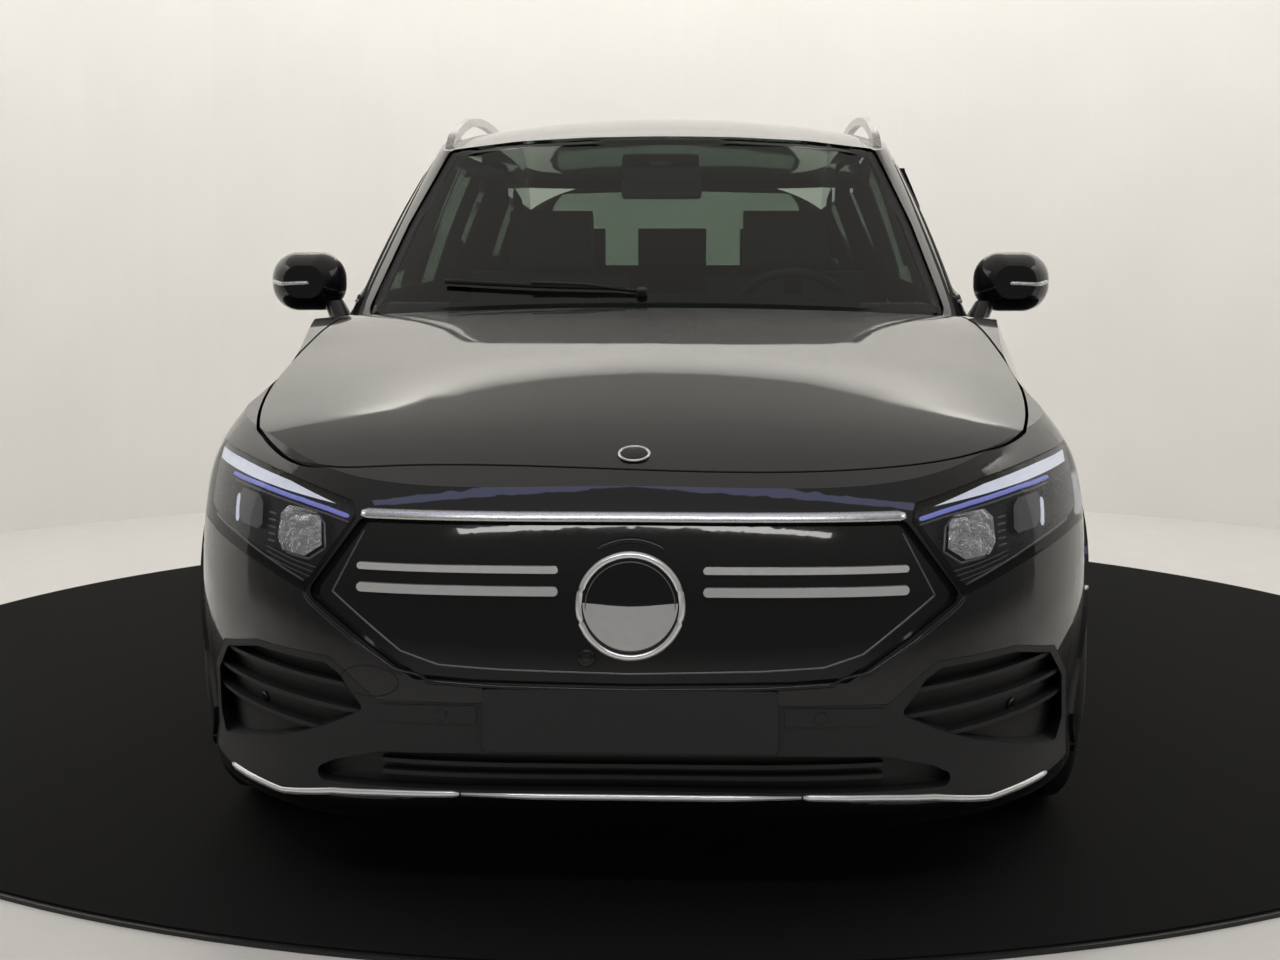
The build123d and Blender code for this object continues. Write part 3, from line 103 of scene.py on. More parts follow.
def surface(
    name, low, high, rough, scale=60.0, metallic=0.0, bump=0.0, coat=0.0, emit=None, distance=0.001,
):
    """A solid finish whose colour and roughness both follow one fine texture, between two values."""
    mat, tree, out = new_material(name)
    shader = tree.nodes.new("ShaderNodeBsdfPrincipled")
    tex = noise(tree, scale)
    tree.links.new(shaded(tree, tex, low, high).outputs[2], shader.inputs["Base Color"])
    tree.links.new(mapped(tree, tex, *rough).outputs["Result"], shader.inputs["Roughness"])
    shader.inputs["Metallic"].default_value = metallic
    shader.inputs["Coat Weight"].default_value = coat
    shader.inputs["Coat Roughness"].default_value = 0.03
    shader.inputs["Specular IOR Level"].default_value = 0.1 if coat > 0.5 else 0.4
    if bump:
        tree.links.new(bumped(tree, tex, bump, distance).outputs["Normal"], shader.inputs["Normal"])
    if emit:
        shader.inputs["Emission Color"].default_value = (*emit[:3], 1)
        shader.inputs["Emission Strength"].default_value = emit[3]
    tree.links.new(shader.outputs["BSDF"], out.inputs["Surface"])
    return mat


def tinted_glass(name, tint):
    """Glass that light passes straight through, tinted, and that reflects on its front faces alone."""
    mat, tree, out = new_material(name)
    clear = tree.nodes.new("ShaderNodeBsdfTransparent")
    gloss = tree.nodes.new("ShaderNodeBsdfGlossy")
    fresnel = tree.nodes.new("ShaderNodeFresnel")
    fresnel.inputs["IOR"].default_value = 1.5
    mix = tree.nodes.new("ShaderNodeMixShader")
    tex = noise(tree, 3.0)
    deeper = tuple(share * 0.94 for share in tint)
    tree.links.new(shaded(tree, tex, tint, deeper).outputs[2], clear.inputs["Color"])
    tree.links.new(mapped(tree, tex, 0.0, 0.01).outputs["Result"], gloss.inputs["Roughness"])
    facing = tree.nodes.new("ShaderNodeNewGeometry")
    front_only = tree.nodes.new("ShaderNodeMath")
    front_only.operation = "SUBTRACT"
    tree.links.new(fresnel.outputs["Fac"], front_only.inputs[0])
    tree.links.new(facing.outputs["Backfacing"], front_only.inputs[1])
    front_only.use_clamp = True
    tree.links.new(front_only.outputs["Value"], mix.inputs["Fac"])
    tree.links.new(clear.outputs["BSDF"], mix.inputs[1])
    tree.links.new(gloss.outputs["BSDF"], mix.inputs[2])
    tree.links.new(mix.outputs["Shader"], out.inputs["Surface"])
    return mat


paint = surface(
    "body_paint", (0.0035, 0.0035, 0.0045), (0.006, 0.006, 0.0085), (0.3, 0.42), 900.0, 0.4, coat=1.0,
)
structure = surface(
    "body_structure", (0.02, 0.02, 0.022), (0.035, 0.035, 0.038), (0.45, 0.6), 40.0, coat=0.2,
)
black_gloss = surface(
    "black_gloss", (0.006, 0.006, 0.007), (0.01, 0.01, 0.011), (0.08, 0.14), 200.0, coat=0.6,
)
black_plastic = surface(
    "black_plastic", (0.012, 0.012, 0.013), (0.022, 0.022, 0.023), (0.5, 0.65), 400.0, bump=0.2,
)
chrome = surface("chrome", (0.86, 0.86, 0.88), (0.92, 0.92, 0.94), (0.12, 0.2), 80.0, 0.7)
satin = surface("satin_aluminium", (0.6, 0.6, 0.62), (0.7, 0.7, 0.72), (0.25, 0.34), 120.0, 1.0)
cast = surface("cast_aluminium", (0.3, 0.3, 0.31), (0.42, 0.42, 0.43), (0.45, 0.6), 90.0, 0.9, bump=0.4)
rim_paint = surface(
    "rim_aluminium", (0.3, 0.31, 0.33), (0.38, 0.39, 0.41), (0.2, 0.3), 300.0, 0.9, coat=0.7,
)
steel = surface("steel", (0.02, 0.02, 0.02), (0.04, 0.04, 0.04), (0.4, 0.6), 70.0, 0.3, bump=0.2)
seat_hide = surface(
    "seat_leather", (0.012, 0.012, 0.013), (0.022, 0.022, 0.023), (0.45, 0.6), 500.0, bump=0.5,
)
wheel_hide = surface(
    "wheel_leather", (0.01, 0.01, 0.01), (0.018, 0.018, 0.018), (0.4, 0.5), 700.0, bump=0.4,
)
tyre_rubber = surface("tyre", (0.012, 0.012, 0.012), (0.02, 0.02, 0.02), (0.6, 0.8), 250.0, bump=0.4)
glass = tinted_glass("glass", (0.58, 0.64, 0.6))
lamp_clear = tinted_glass("lamp_clear", (0.9, 0.91, 0.93))
lamp_red = surface("lamp_red", (0.16, 0.004, 0.004), (0.24, 0.008, 0.008), (0.06, 0.1), 60.0, coat=1.0)

finish = {
    "body_paint": paint,
    "body_structure": structure,
    "black_gloss": black_gloss,
    "black_plastic": black_plastic,
    "chrome": chrome,
    "satin_aluminium": satin,
    "cast_aluminium": cast,
    "rim_aluminium": rim_paint,
    "steel": steel,
    "glass": glass,
    "lamp_clear": lamp_clear,
    "lamp_red": lamp_red,
    "seat_leather": seat_hide,
    "wheel_leather": wheel_hide,
    "tyre": tyre_rubber,
}
# every CAD node wears the finish of its slot
for entry in frame["record"]["subparts"]:
    mesh = nodes[entry["node"]].data
    mesh.materials.clear()
    mesh.materials.append(finish[entry["material_slot"]])


# ---------------------------------------------------------------- helpers for the pieces
def tree_of(*names):
    """What a ray meets on these CAD nodes."""
    verts = []
    faces = []
    for name in names:
        start = len(verts)
        verts.extend(v.co.copy() for v in nodes[name].data.vertices)
        faces.extend([start + i for i in poly.vertices] for poly in nodes[name].data.polygons)
    return BVHTree.FromPolygons(verts, faces)


def cast(tree, start, way):
    """(place, normal facing the ray) of the first surface met, or None."""
    place, normal, _, _ = tree.ray_cast(Vector(start), Vector(way))
    if place is None:
        return None
    return place, (-normal if normal.dot(Vector(way)) > 0 else normal)


def spaced(points, step):
    """The polyline through these points, with a point every step or so."""
    track = []
    for a, b in zip(points, points[1:]):
        count = max(1, round((Vector(b) - Vector(a)).length / step))
        track += [Vector(a).lerp(Vector(b), i / count) for i in range(count)]
    return track + [Vector(points[-1])]


def rounded(points, count):
    """A smooth line through a few points, with so many steps between two of them."""
    track = []
    for i in range(len(points) - 1):
        a = Vector(points[max(i - 1, 0)])
        b = Vector(points[i])
        c = Vector(points[i + 1])
        d = Vector(points[min(i + 2, len(points) - 1)])
        for j in range(count):
            t = j / count
            square = (2 * a - 5 * b + 4 * c - d) * t * t
            cube = (3 * b - a - 3 * c + d) * t ** 3
            track.append(0.5 * (2 * b + (c - a) * t + square + cube))
    return track + [Vector(points[-1])]


def mirrored(half):
    """A line over both sides of the car, from the half that starts outside and ends in the middle."""
    return half + [(-u, v) for u, v in reversed(half[:-1])]


# where a ray starts, for a point (u, v) of each side's view, and which way it goes
rays = {
    "front": (lambda u, v: (u, -3.0, v), (0, 1, 0)),
    "back": (lambda u, v: (u, 3.0, v), (0, -1, 0)),
    "left": (lambda u, v: (1.5, u, v), (-1, 0, 0)),
    "right": (lambda u, v: (-1.5, u, v), (1, 0, 0)),
    "top": (lambda u, v: (u, v, 3.0), (0, 0, -1)),
}


def lay(tree, side, points, step=0.012):
    """Points in that side's view, laid on the surface that they meet."""
    start, way = rays[side]
    found = [cast(tree, start(*p), way) for p in spaced(points, step)]
    return [f for f in found if f]


def piece(name, verts, faces, mat, body, slot):
    """A mesh of these vertices and faces that rides on a body."""
    mesh = bpy.data.meshes.new(name)
    mesh.from_pydata([tuple(v) for v in verts], [], faces)
    mesh.materials.append(mat)
    mesh.shade_smooth()
    obj = bpy.data.objects.new(name, mesh)
    bpy.context.collection.objects.link(obj)
    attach(obj, body)
    return obj


def strip(name, track, width, height, mat, body, slot, lift=0.0):
    """A bead of half-round section that follows a track of (place, normal)."""
    ring = [(-0.5, -0.4), (-0.5, 0.35), (-0.3, 0.85), (0, 1), (0.3, 0.85), (0.5, 0.35), (0.5, -0.4)]
    verts = []
    faces = []
    for i, (place, normal) in enumerate(track):
        ahead = track[min(i + 1, len(track) - 1)][0] - track[max(i - 1, 0)][0]
        across = normal.cross(ahead).normalized()
        end = 0.55 if i in (0, len(track) - 1) else 1.0
        for s, h in ring:
            verts.append(place + across * (s * width * end) + normal * (h * height * end + lift))
    n = len(ring)
    for i in range(len(track) - 1):
        for j in range(n - 1):
            faces.append((i * n + j, i * n + j + 1, (i + 1) * n + j + 1, (i + 1) * n + j))
    faces.append(tuple(range(n)))
    faces.append(tuple(reversed(range(len(verts) - n, len(verts)))))
    return piece(name, verts, faces, mat, body, slot)


def panel(name, tree, side, outline, mat, body, slot, lift, rings):
    """A skin that covers an outline, lifted off the surface behind it."""
    start, way = rays[side]
    edge = spaced(list(outline) + [outline[0]], 0.012)[:-1]
    middle = sum(edge, Vector((0, 0))) / len(edge)
    verts = []
    faces = []
    n = len(edge)
    for k in range(rings + 1):
        for p in edge:
            u, v = middle.lerp(p, k / rings)
            found = cast(tree, start(u, v), way)
            if found:
                place = found[0]
            else:
                place = verts[-1] if verts else Vector(start(u, v))
            verts.append(place - Vector(way) * lift)
    for k in range(rings):
        for i in range(n):
            j = (i + 1) % n
            faces.append((k * n + i, (k + 1) * n + i, (k + 1) * n + j, k * n + j))
    return piece(name, verts, faces, mat, body, slot)


def solid(name, maker, mat, body, bevel=0.0):
    """What maker builds in a bmesh, bevelled at its sharp edges, riding on a body."""
    shape = bmesh.new()
    maker(shape)
    if bevel:
        edges = [e for e in shape.edges if e.is_manifold and e.calc_face_angle(0) > 0.5]
        bmesh.ops.bevel(shape, geom=edges, offset=bevel, segments=3, affect="EDGES", profile=0.5)
    mesh = bpy.data.meshes.new(name)
    shape.to_mesh(mesh)
    shape.free()
    mesh.materials.append(mat)
    mesh.shade_smooth()
    mesh.set_sharp_from_angle(angle=radians(40))
    obj = bpy.data.objects.new(name, mesh)
    bpy.context.collection.objects.link(obj)
    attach(obj, body)
    return obj


def block(name, low, high, mat, body, bevel=0.004, lean=0.0):
    """A bevelled box, leant back about X by a few degrees."""
    low, high = Vector(low), Vector(high)

    def make(shape):
        place = Matrix.Translation((low + high) / 2) @ Matrix.Rotation(radians(lean), 4, "X")
        bmesh.ops.create_cube(shape, size=1, matrix=place @ Matrix.Diagonal((*(high - low), 1)))

    return solid(name, make, mat, body, bevel)


def disc_piece(name, centre, axis, radius, depth, mat, body, bevel=0.0, segments=64):
    """A short cylinder about an axis."""
    turn = Vector(axis).to_track_quat("Z", "Y").to_matrix().to_4x4()

    def make(shape):
        bmesh.ops.create_cone(
            shape, cap_ends=True, segments=segments, radius1=radius, radius2=radius, depth=depth,
            matrix=Matrix.Translation(centre) @ turn,
        )

    return solid(name, make, mat, body, bevel)


def tube(name, points, radius, mat, body, slot, closed=False, sides=10, flat=1.0):
    """A round bar along a line of points, thicker one way where flat isn't 1."""
    points = [Vector(p) for p in points]
    n = len(points)
    verts = []
    faces = []
    for i, p in enumerate(points):
        if closed:
            ahead = points[(i + 1) % n] - points[i - 1]
        else:
            ahead = points[min(i + 1, n - 1)] - points[max(i - 1, 0)]
        upright = abs(ahead.normalized().z) >= 0.95
        side = ahead.cross(Vector((0, 1, 0)) if upright else Vector((0.03, 0.05, 1))).normalized()
        up = side.cross(ahead).normalized()
        for j in range(sides):
            a = 2 * pi * j / sides
            verts.append(p + side * (radius * cos(a)) + up * (radius * flat * sin(a)))
    for i in range(n if closed else n - 1):
        k = (i + 1) % n
        for j in range(sides):
            m = (j + 1) % sides
            faces.append((i * sides + j, i * sides + m, k * sides + m, k * sides + j))
    if not closed:
        faces.append(tuple(reversed(range(sides))))
        faces.append(tuple(range((n - 1) * sides, n * sides)))
    return piece(name, verts, faces, mat, body, slot)


def circle(centre, axis, radius, count=72):
    """Points round a circle about an axis."""
    turn = Vector(axis).to_track_quat("Z", "Y")
    centre = Vector(centre)
    return [
        centre + turn @ Vector((radius * cos(2 * pi * i / count), radius * sin(2 * pi * i / count), 0))
        for i in range(count)
    ]


# ---------------------------------------------------------------- finishes of the pieces
lamp_housing = surface(
    "lamp_housing", (0.02, 0.021, 0.024), (0.04, 0.042, 0.047), (0.25, 0.4), 150.0, 0.5,
)
lamp_white = surface(
    "lamp_white", (0.6, 0.62, 0.68), (0.75, 0.77, 0.82), (0.15, 0.25), 40.0,
    emit=(0.7, 0.75, 0.9, 0.35),
)
lamp_blue = surface(
    "lamp_blue", (0.14, 0.16, 0.4), (0.2, 0.22, 0.5), (0.1, 0.2), 40.0, emit=(0.2, 0.22, 0.7, 0.4),
)
reflector = surface(
    "lamp_reflector", (0.35, 0.36, 0.38), (0.95, 0.95, 0.97), (0.05, 0.3), 45.0, 0.9, bump=1.0,
    distance=0.01,
)
rubber = surface("rubber", (0.006, 0.006, 0.006), (0.012, 0.012, 0.012), (0.5, 0.7), 300.0)
dark_satin = surface("dark_satin", (0.12, 0.12, 0.13), (0.2, 0.2, 0.215), (0.3, 0.45), 100.0, 0.8)
screen = surface("screen", (0.004, 0.005, 0.007), (0.01, 0.012, 0.016), (0.05, 0.08), 20.0, coat=1.0)
# red that glows a little: lamp light on the tail lamp lines, a painted glow on the rear reflectors
bright_red = surface(
    "bright_red", (0.45, 0.01, 0.01), (0.6, 0.02, 0.015), (0.1, 0.2), 60.0, coat=1.0,
    emit=(0.5, 0.01, 0.01, 0.12),
)
mirror_face = surface("mirror_face", (0.7, 0.72, 0.74), (0.75, 0.77, 0.79), (0.01, 0.03), 10.0, 1.0)

nose_tree = tree_of("front_bumper", "front_grille", "bumper_trim", "lower_intake")
hood_tree = tree_of("hood")
glass_tree = tree_of("windscreen")


# ---------------------------------------------------------------- nose
lip_tree = tree_of("front_bumper", "bumper_trim")
middle = lay(
    lip_tree, "front", [(-0.304, 0.232), (-0.15, 0.229), (0, 0.228), (0.15, 0.229), (0.304, 0.232)],
)
strip("lip_bright_middle", middle, 0.013, 0.005, chrome, "body", "chrome")
for side, label in ((1, "left"), (-1, "right")):
    outer = [
        (0.307, 0.232), (0.45, 0.228), (0.545, 0.222), (0.62, 0.209), (0.652, 0.204), (0.7, 0.209),
        (0.79, 0.216), (0.826, 0.22),
    ]
    track = lay(lip_tree, "front", [(side * u, v) for u, v in outer])
    strip("lip_bright_" + label, track, 0.013, 0.005, chrome, "body", "chrome")

satin_line = lay(nose_tree, "front", [(-0.487, 0.731), (0, 0.732), (0.487, 0.731)])
strip("nose_satin_strip", satin_line, 0.019, 0.003, satin, "body", "satin_aluminium")
frame_half = [
    (0.5, 0.718), (0.548, 0.652), (0.596, 0.588), (0.58, 0.57), (0.5, 0.513), (0.42, 0.462),
    (0.36, 0.443), (0.23, 0.436), (0, 0.432),
]
strip(
    "grille_frame", lay(nose_tree, "front", mirrored(frame_half)), 0.009, 0.004, black_gloss, "body",
    "black_gloss",
)
# the grille's inner step: the raised bead is real, but its lighter metallic colour where the grille is
# black gloss is a painted highlight along the step
inner_half = [(0.482, 0.7), (0.54, 0.59), (0.41, 0.492), (0.34, 0.47), (0.23, 0.464), (0, 0.458)]
strip(
    "grille_crease", lay(nose_tree, "front", mirrored(inner_half)), 0.004, 0.0014, dark_satin, "body",
    "black_gloss",
)

ring_face = cast(tree_of("grille_blades"), (0, -3, 0.585), (0, 1, 0))[0]
ring_centre = Vector((0, ring_face.y + 0.004, 0.578))
tube(
    "emblem_ring", circle(ring_centre, (0, -1, 0.06), 0.0905), 0.0068, chrome, "body", "chrome",
    closed=True, sides=12,
)
disc_piece(
    "emblem_disc", ring_centre + Vector((0, -0.001, 0)), (0, -1, 0.06), 0.087, 0.008, black_gloss,
    "body", 0.002,
)
tube(
    "emblem_inner_ring", circle(ring_centre + Vector((0, -0.005, 0)), (0, -1, 0.06), 0.079), 0.0012,
    dark_satin, "body", "satin_aluminium", closed=True, sides=8,
)
hump = [(0.113 * cos(radians(a)), 0.578 + 0.113 * sin(radians(a))) for a in range(58, 123, 4)]
strip("emblem_brow", lay(nose_tree, "front", hump), 0.011, 0.004, black_gloss, "body", "black_gloss")
bump = cast(nose_tree, (-0.077, -3, 0.487), (0, 1, 0))
disc_piece(
    "nose_camera", bump[0] + bump[1] * 0.004, bump[1], 0.016, 0.014, black_gloss, "body",
    0.004, 32,
)
disc_piece(
    "nose_camera_lens", bump[0] + bump[1] * 0.011, bump[1], 0.007, 0.003, screen, "body",
    0.001, 24,
)

badge = cast(hood_tree, (0, -2.045, 3), (0, 0, -1))
disc_piece(
    "hood_disc", badge[0] + badge[1] * 0.001, badge[1], 0.027, 0.004, black_gloss, "hood",
    0.001, 48,
)
tube(
    "hood_disc_ring", circle(badge[0] + badge[1] * 0.003, badge[1], 0.0275, 48), 0.0024, chrome,
    "hood", "chrome", closed=True, sides=10,
)

plate_edge = 0.008
for node, label, side in (("front_plate", "front", -1), ("rear_plate", "rear", 1)):
    low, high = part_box(node)
    face = low.y if side < 0 else high.y
    y0, y1 = sorted((face - side * 0.006, face - side * 0.0002))
    for part, lo, hi in (
        ("top", (low.x, high.z - plate_edge), (high.x, high.z)),
        ("bottom", (low.x, low.z), (high.x, low.z + plate_edge)),
        ("left", (high.x - plate_edge, low.z), (high.x, high.z)),
        ("right", (low.x, low.z), (low.x + plate_edge, high.z)),
    ):
        block(
            f"{label}_plate_frame_{part}", (lo[0], y0, lo[1]), (hi[0], y1, hi[1]), black_gloss, "body",
            0.002,
        )

tow = [(-0.467 + 0.055 * cos(radians(a)), 0.438 + 0.028 * sin(radians(a))) for a in range(0, 361, 12)]
strip("tow_cover_line", lay(nose_tree, "front", tow), 0.003, 0.0012, rubber, "body", "black_plastic")
for side, label in ((1, "left"), (-1, "right")):
    bar = [(0.272, 0.368), (0.272, 0.402), (0.448, 0.398), (0.455, 0.39), (0.45, 0.366)]
    bar = [(side * u, v) for u, v in bar]
    panel(
        "sensor_bar_" + label, nose_tree, "front", bar, black_plastic, "body", "black_plastic", 0.0025,
        4,
    )
    for k, (u, v) in enumerate(((0.335, 0.384), (0.7, 0.36))):
        spot = cast(nose_tree, (side * u, -3, v), (0, 1, 0))
        disc_piece(
            f"park_sensor_{label}_{k}", spot[0] + spot[1] * 0.002, spot[1], 0.011, 0.004, black_gloss,
            "body", 0.001, 24,
        )

# ---------------------------------------------------------------- headlamps
for side, label in ((1, "left"), (-1, "right")):
    lens = tree_of("headlamp_" + label)

    def on_lens(points):
        """Points in the front view, laid on this lamp's lens."""
        return lay(lens, "front", [(side * u, v) for u, v in points], 0.006)

    def lens_panel(name, points, mat, depth, slot="black_gloss", rings=4):
        """A skin inside the lamp, depth behind its lens."""
        return panel(
            f"headlamp_{name}_{label}", lens, "front", [(side * u, v) for u, v in points], mat, "body",
            slot, -depth, rings,
        )

    def lens_strip(name, points, width, height, mat, depth, slot="chrome"):
        """A bead inside the lamp, depth behind its lens."""
        return strip(
            f"headlamp_{name}_{label}", on_lens(points), width, height, mat, "body", slot, -depth,
        )

    lens_panel(
        "housing",
        [
            (0.508, 0.722), (0.512, 0.742), (0.64, 0.778), (0.76, 0.804), (0.85, 0.82), (0.862, 0.7),
            (0.84, 0.688), (0.7, 0.64), (0.6, 0.6),
        ],
        lamp_housing, 0.046, rings=8,
    )
    lens_panel(
        "brow",
        [
            (0.54, 0.742), (0.64, 0.774), (0.76, 0.8), (0.83, 0.812), (0.83, 0.792), (0.73, 0.772),
            (0.64, 0.757),
        ],
        lamp_white, 0.012, "lamp_clear",
    )
    lens_strip(
        "daylight_line",
        [(0.516, 0.726), (0.56, 0.737), (0.613, 0.748), (0.716, 0.766), (0.79, 0.776)], 0.0085, 0.002,
        lamp_blue, 0.01, "lamp_clear",
    )
    lens_strip(
        "daylight_edge",
        [(0.516, 0.717), (0.56, 0.728), (0.613, 0.738), (0.716, 0.756), (0.79, 0.766)], 0.004, 0.002,
        dark_satin, 0.012,
    )
    edge = [
        (0.566, 0.668), (0.57, 0.712), (0.582, 0.727), (0.64, 0.731), (0.656, 0.716), (0.66, 0.672),
        (0.648, 0.652), (0.6, 0.646),
    ]
    lens_panel("reflector", edge, reflector, 0.022, "chrome")
    lens_panel(
        "reflector_outer",
        [
            (0.7, 0.69), (0.702, 0.728), (0.712, 0.742), (0.756, 0.748), (0.764, 0.736), (0.762, 0.7),
            (0.75, 0.686), (0.71, 0.68),
        ],
        dark_satin, 0.03, "chrome",
    )
    lens_strip("reflector_rim", edge + edge[:1], 0.005, 0.003, dark_satin, 0.02)
    lens_strip(
        "light_bar", [(0.778, 0.69), (0.779, 0.716), (0.778, 0.742)], 0.011, 0.003, lamp_white, 0.018,
    )
    lens_strip("outer_bar", [(0.812, 0.7), (0.815, 0.74), (0.812, 0.775)], 0.02, 0.003, reflector, 0.03)
    for k in range(5):
        v = 0.668 + 0.0125 * k
        lens_strip(f"fin_{k}", [(0.672, v), (0.69, v + 0.002)], 0.0045, 0.003, dark_satin, 0.014)
    for k in range(3):
        v = 0.64 - 0.009 * k
        lens_strip(
            f"ledge_{k}", [(0.585 + 0.006 * k, v - 0.008), (0.64, v + 0.002), (0.7, v + 0.018)],
            0.0022, 0.001, dark_satin, 0.02,
        )
    lens_strip(
        "lower_bead", [(0.604, 0.606), (0.7, 0.643), (0.77, 0.669), (0.84, 0.69)], 0.004, 0.0015,
        dark_satin, 0.012,
    )
    lens_strip(
        "side_marker", [(0.845, 0.715), (0.852, 0.745), (0.852, 0.775)], 0.012, 0.003, satin, 0.03,
    )

# ---------------------------------------------------------------- windscreen and cabin
screen_half = [(0, 1.497), (0.2, 1.495), (0.4, 1.486), (0.575, 1.464), (0.648, 1.265), (0.697, 1.062)]
border = [(-u, v) for u, v in reversed(screen_half[1:])] + screen_half
strip(
    "screen_border", lay(glass_tree, "front", border, 0.02), 0.032, 0.0006, rubber, "body",
    "black_plastic", -0.0004,
)
foot = [(-0.69, 1.058), (-0.4, 1.062), (0, 1.064), (0.4, 1.062), (0.69, 1.058)]
strip(
    "screen_foot", lay(glass_tree, "front", foot, 0.02), 0.05, 0.0006, rubber, "body", "black_plastic",
    -0.0004,
)
top_glass = cast(glass_tree, (0, -3, 1.45), (0, 1, 0))[0]
block(
    "camera_housing", (-0.105, top_glass.y + 0.012, 1.405), (0.105, top_glass.y + 0.13, 1.445),
    black_plastic, "body", 0.012, lean=-22,
)
block(
    "camera_window", (-0.03, top_glass.y + 0.004, 1.428), (0.03, top_glass.y + 0.014, 1.44),
    dark_satin, "body", 0.003, lean=-22,
)
block(
    "cabin_mirror", (-0.112, -0.215, 1.342), (0.112, -0.19, 1.4), black_gloss, "body",
    0.011,
)
block(
    "cabin_mirror_face", (-0.104, -0.19, 1.349), (0.104, -0.1885, 1.393), mirror_face, "body",
    0.0,
)
tube(
    "cabin_mirror_arm", [(0, -0.2, 1.395), (0, -0.2, 1.42), (0, -0.215, 1.45)], 0.009, black_plastic,
    "body", "black_plastic",
)

# only the passenger's wiper is made: where the driver's pivot would be, a ray from above falls
# between the cowl and the windscreen
wiper_foot = cast(tree_of("cowl", "windscreen"), (-0.03, -0.88, 3), (0, 0, -1))[0]
pivot = wiper_foot + Vector((0, 0, 0.008))
blade = [
    place + normal * 0.011
    for place, normal in lay(glass_tree, "front", [(-0.07, 1.1), (-0.3, 1.105), (-0.52, 1.115)], 0.02)
]
reach = blade[len(blade) // 2] + Vector((0, -0.004, 0.008))
tube("wiper_blade_passenger", blade, 0.006, rubber, "body", "black_plastic")
tube(
    "wiper_arm_passenger", [pivot, pivot.lerp(reach, 0.5) + Vector((0, -0.002, 0.006)), reach], 0.005,
    black_plastic, "body", "black_plastic",
)
disc_piece(
    "wiper_pivot_passenger", pivot, (0, -0.3, 1), 0.014, 0.018, black_plastic, "body",
    0.003, 24,
)

block(
    "dash_screens", (-0.16, -0.455, 0.99), (0.56, -0.43, 1.085), screen, "body", 0.008,
    lean=-12,
)
block("dash_pad", (-0.62, -0.52, 0.985), (0.62, -0.36, 1.008), seat_hide, "body", 0.01)

# ---------------------------------------------------------------- doors, mirrors, windows
windows = {
    "front_door": [(-0.6695, 1.09), (-0.1565, 1.4), (-0.0415, 1.432), (0.207, 1.446), (0.217, 1.098)],
    "rear_door": [(0.3115, 1.1), (0.3065, 1.447), (0.9375, 1.444), (1.0025, 1.424), (1.1475, 1.122)],
    "quarter": [
        (1.2825, 1.13), (1.1575, 1.4), (1.2075, 1.425), (1.4675, 1.39), (1.6075, 1.3), (1.6375, 1.18),
    ],
}
for side, label in ((1, "left"), (-1, "right")):
    for name, outline in windows.items():
        node = f"{name}_{label}" if name != "quarter" else "body_side_" + label
        body = node if name != "quarter" else "body"
        tree = tree_of(node)
        centre = sum((Vector(p) for p in outline), Vector((0, 0))) / len(outline)
        ring = [centre + (Vector(p) - centre) * 1.045 for p in outline]
        track = lay(tree, label, [tuple(p) for p in ring] + [tuple(ring[0])], 0.02)
        strip(f"{name}_gasket_{label}", track, 0.014, 0.003, rubber, body, "black_plastic")
    waist = tree_of("front_door_" + label)
    line = lay(waist, label, [(-0.69, 1.072), (-0.2, 1.078), (0.245, 1.079)], 0.03)
    strip(
        f"front_waist_line_{label}", line, 0.012, 0.0035, satin, "front_door_" + label,
        "satin_aluminium",
    )
    waist = tree_of("rear_door_" + label)
    line = lay(waist, label, [(0.28, 1.08), (0.7, 1.088), (1.15, 1.099)], 0.03)
    strip(
        f"rear_waist_line_{label}", line, 0.012, 0.0035, satin, "rear_door_" + label,
        "satin_aluminium",
    )
    pillar = [(0.236, 1.108), (0.228, 1.445), (0.252, 1.447), (0.254, 1.108)]
    panel(
        f"pillar_front_{label}", tree_of("front_door_" + label), label, pillar, black_gloss,
        "front_door_" + label, "black_gloss", 0.0015, 3,
    )
    pillar = [(0.272, 1.108), (0.27, 1.447), (0.296, 1.447), (0.3, 1.108)]
    panel(
        f"pillar_rear_{label}", tree_of("rear_door_" + label), label, pillar, black_gloss,
        "rear_door_" + label, "black_gloss", 0.0015, 3,
    )
    for door, middle_y, z in (("front_door", 0.12, 0.93), ("rear_door", 1.03, 0.945)):
        tree = tree_of(f"{door}_{label}")
        cup = [
            (middle_y + 0.075 * cos(radians(a)), z + 0.026 * sin(radians(a)))
            for a in range(0, 360, 15)
        ]
        # a black gloss skin over the handle's hollow is painted shade: the hollow itself is body paint
        panel(
            f"{door}_handle_cup_{label}", tree, label, cup, black_gloss, f"{door}_{label}",
            "body_paint", 0.0008, 3,
        )
        ends = [cast(tree, (side * 1.5, middle_y + d, z + 0.004), (-side, 0, 0)) for d in (-0.1, 0.1)]
        first, last = (place for place, normal in ends)
        lift = Vector((side, 0, 0))
        rise = ((0.02, 0.012), (0.03, 0.035))
        line = [first]
        line += [first + lift * out + Vector((0, along, 0)) for out, along in rise]
        line += [last + lift * out - Vector((0, along, 0)) for out, along in reversed(rise)]
        line.append(last)
        tube(
            f"{door}_handle_{label}", rounded(line, 5), 0.009, paint, f"{door}_{label}", "body_paint",
            flat=1.4,
        )
    low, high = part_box("mirror_" + label)
    mirror_tree = tree_of("mirror_" + label)
    door = "front_door_" + label
    x_out = max(abs(low.x), abs(high.x))
    z_mid = (low.z + high.z) / 2
    line = lay(
        mirror_tree, "front",
        [
            (side * (x_out - 0.008), z_mid + 0.008), (side * (x_out - 0.04), z_mid + 0.001),
            (side * (x_out - 0.11), z_mid + 0.004),
        ],
        0.006,
    )
    strip("mirror_indicator_" + label, line, 0.011, 0.003, satin, door, "satin_aluminium")
    face = [
        (side * (x_out - 0.083) + 0.062 * cos(radians(a)), z_mid + 0.026 + 0.05 * sin(radians(a)))
        for a in range(0, 360, 15)
    ]
    panel("mirror_glass_" + label, mirror_tree, "back", face, mirror_face, door, "chrome", 0.001, 3)

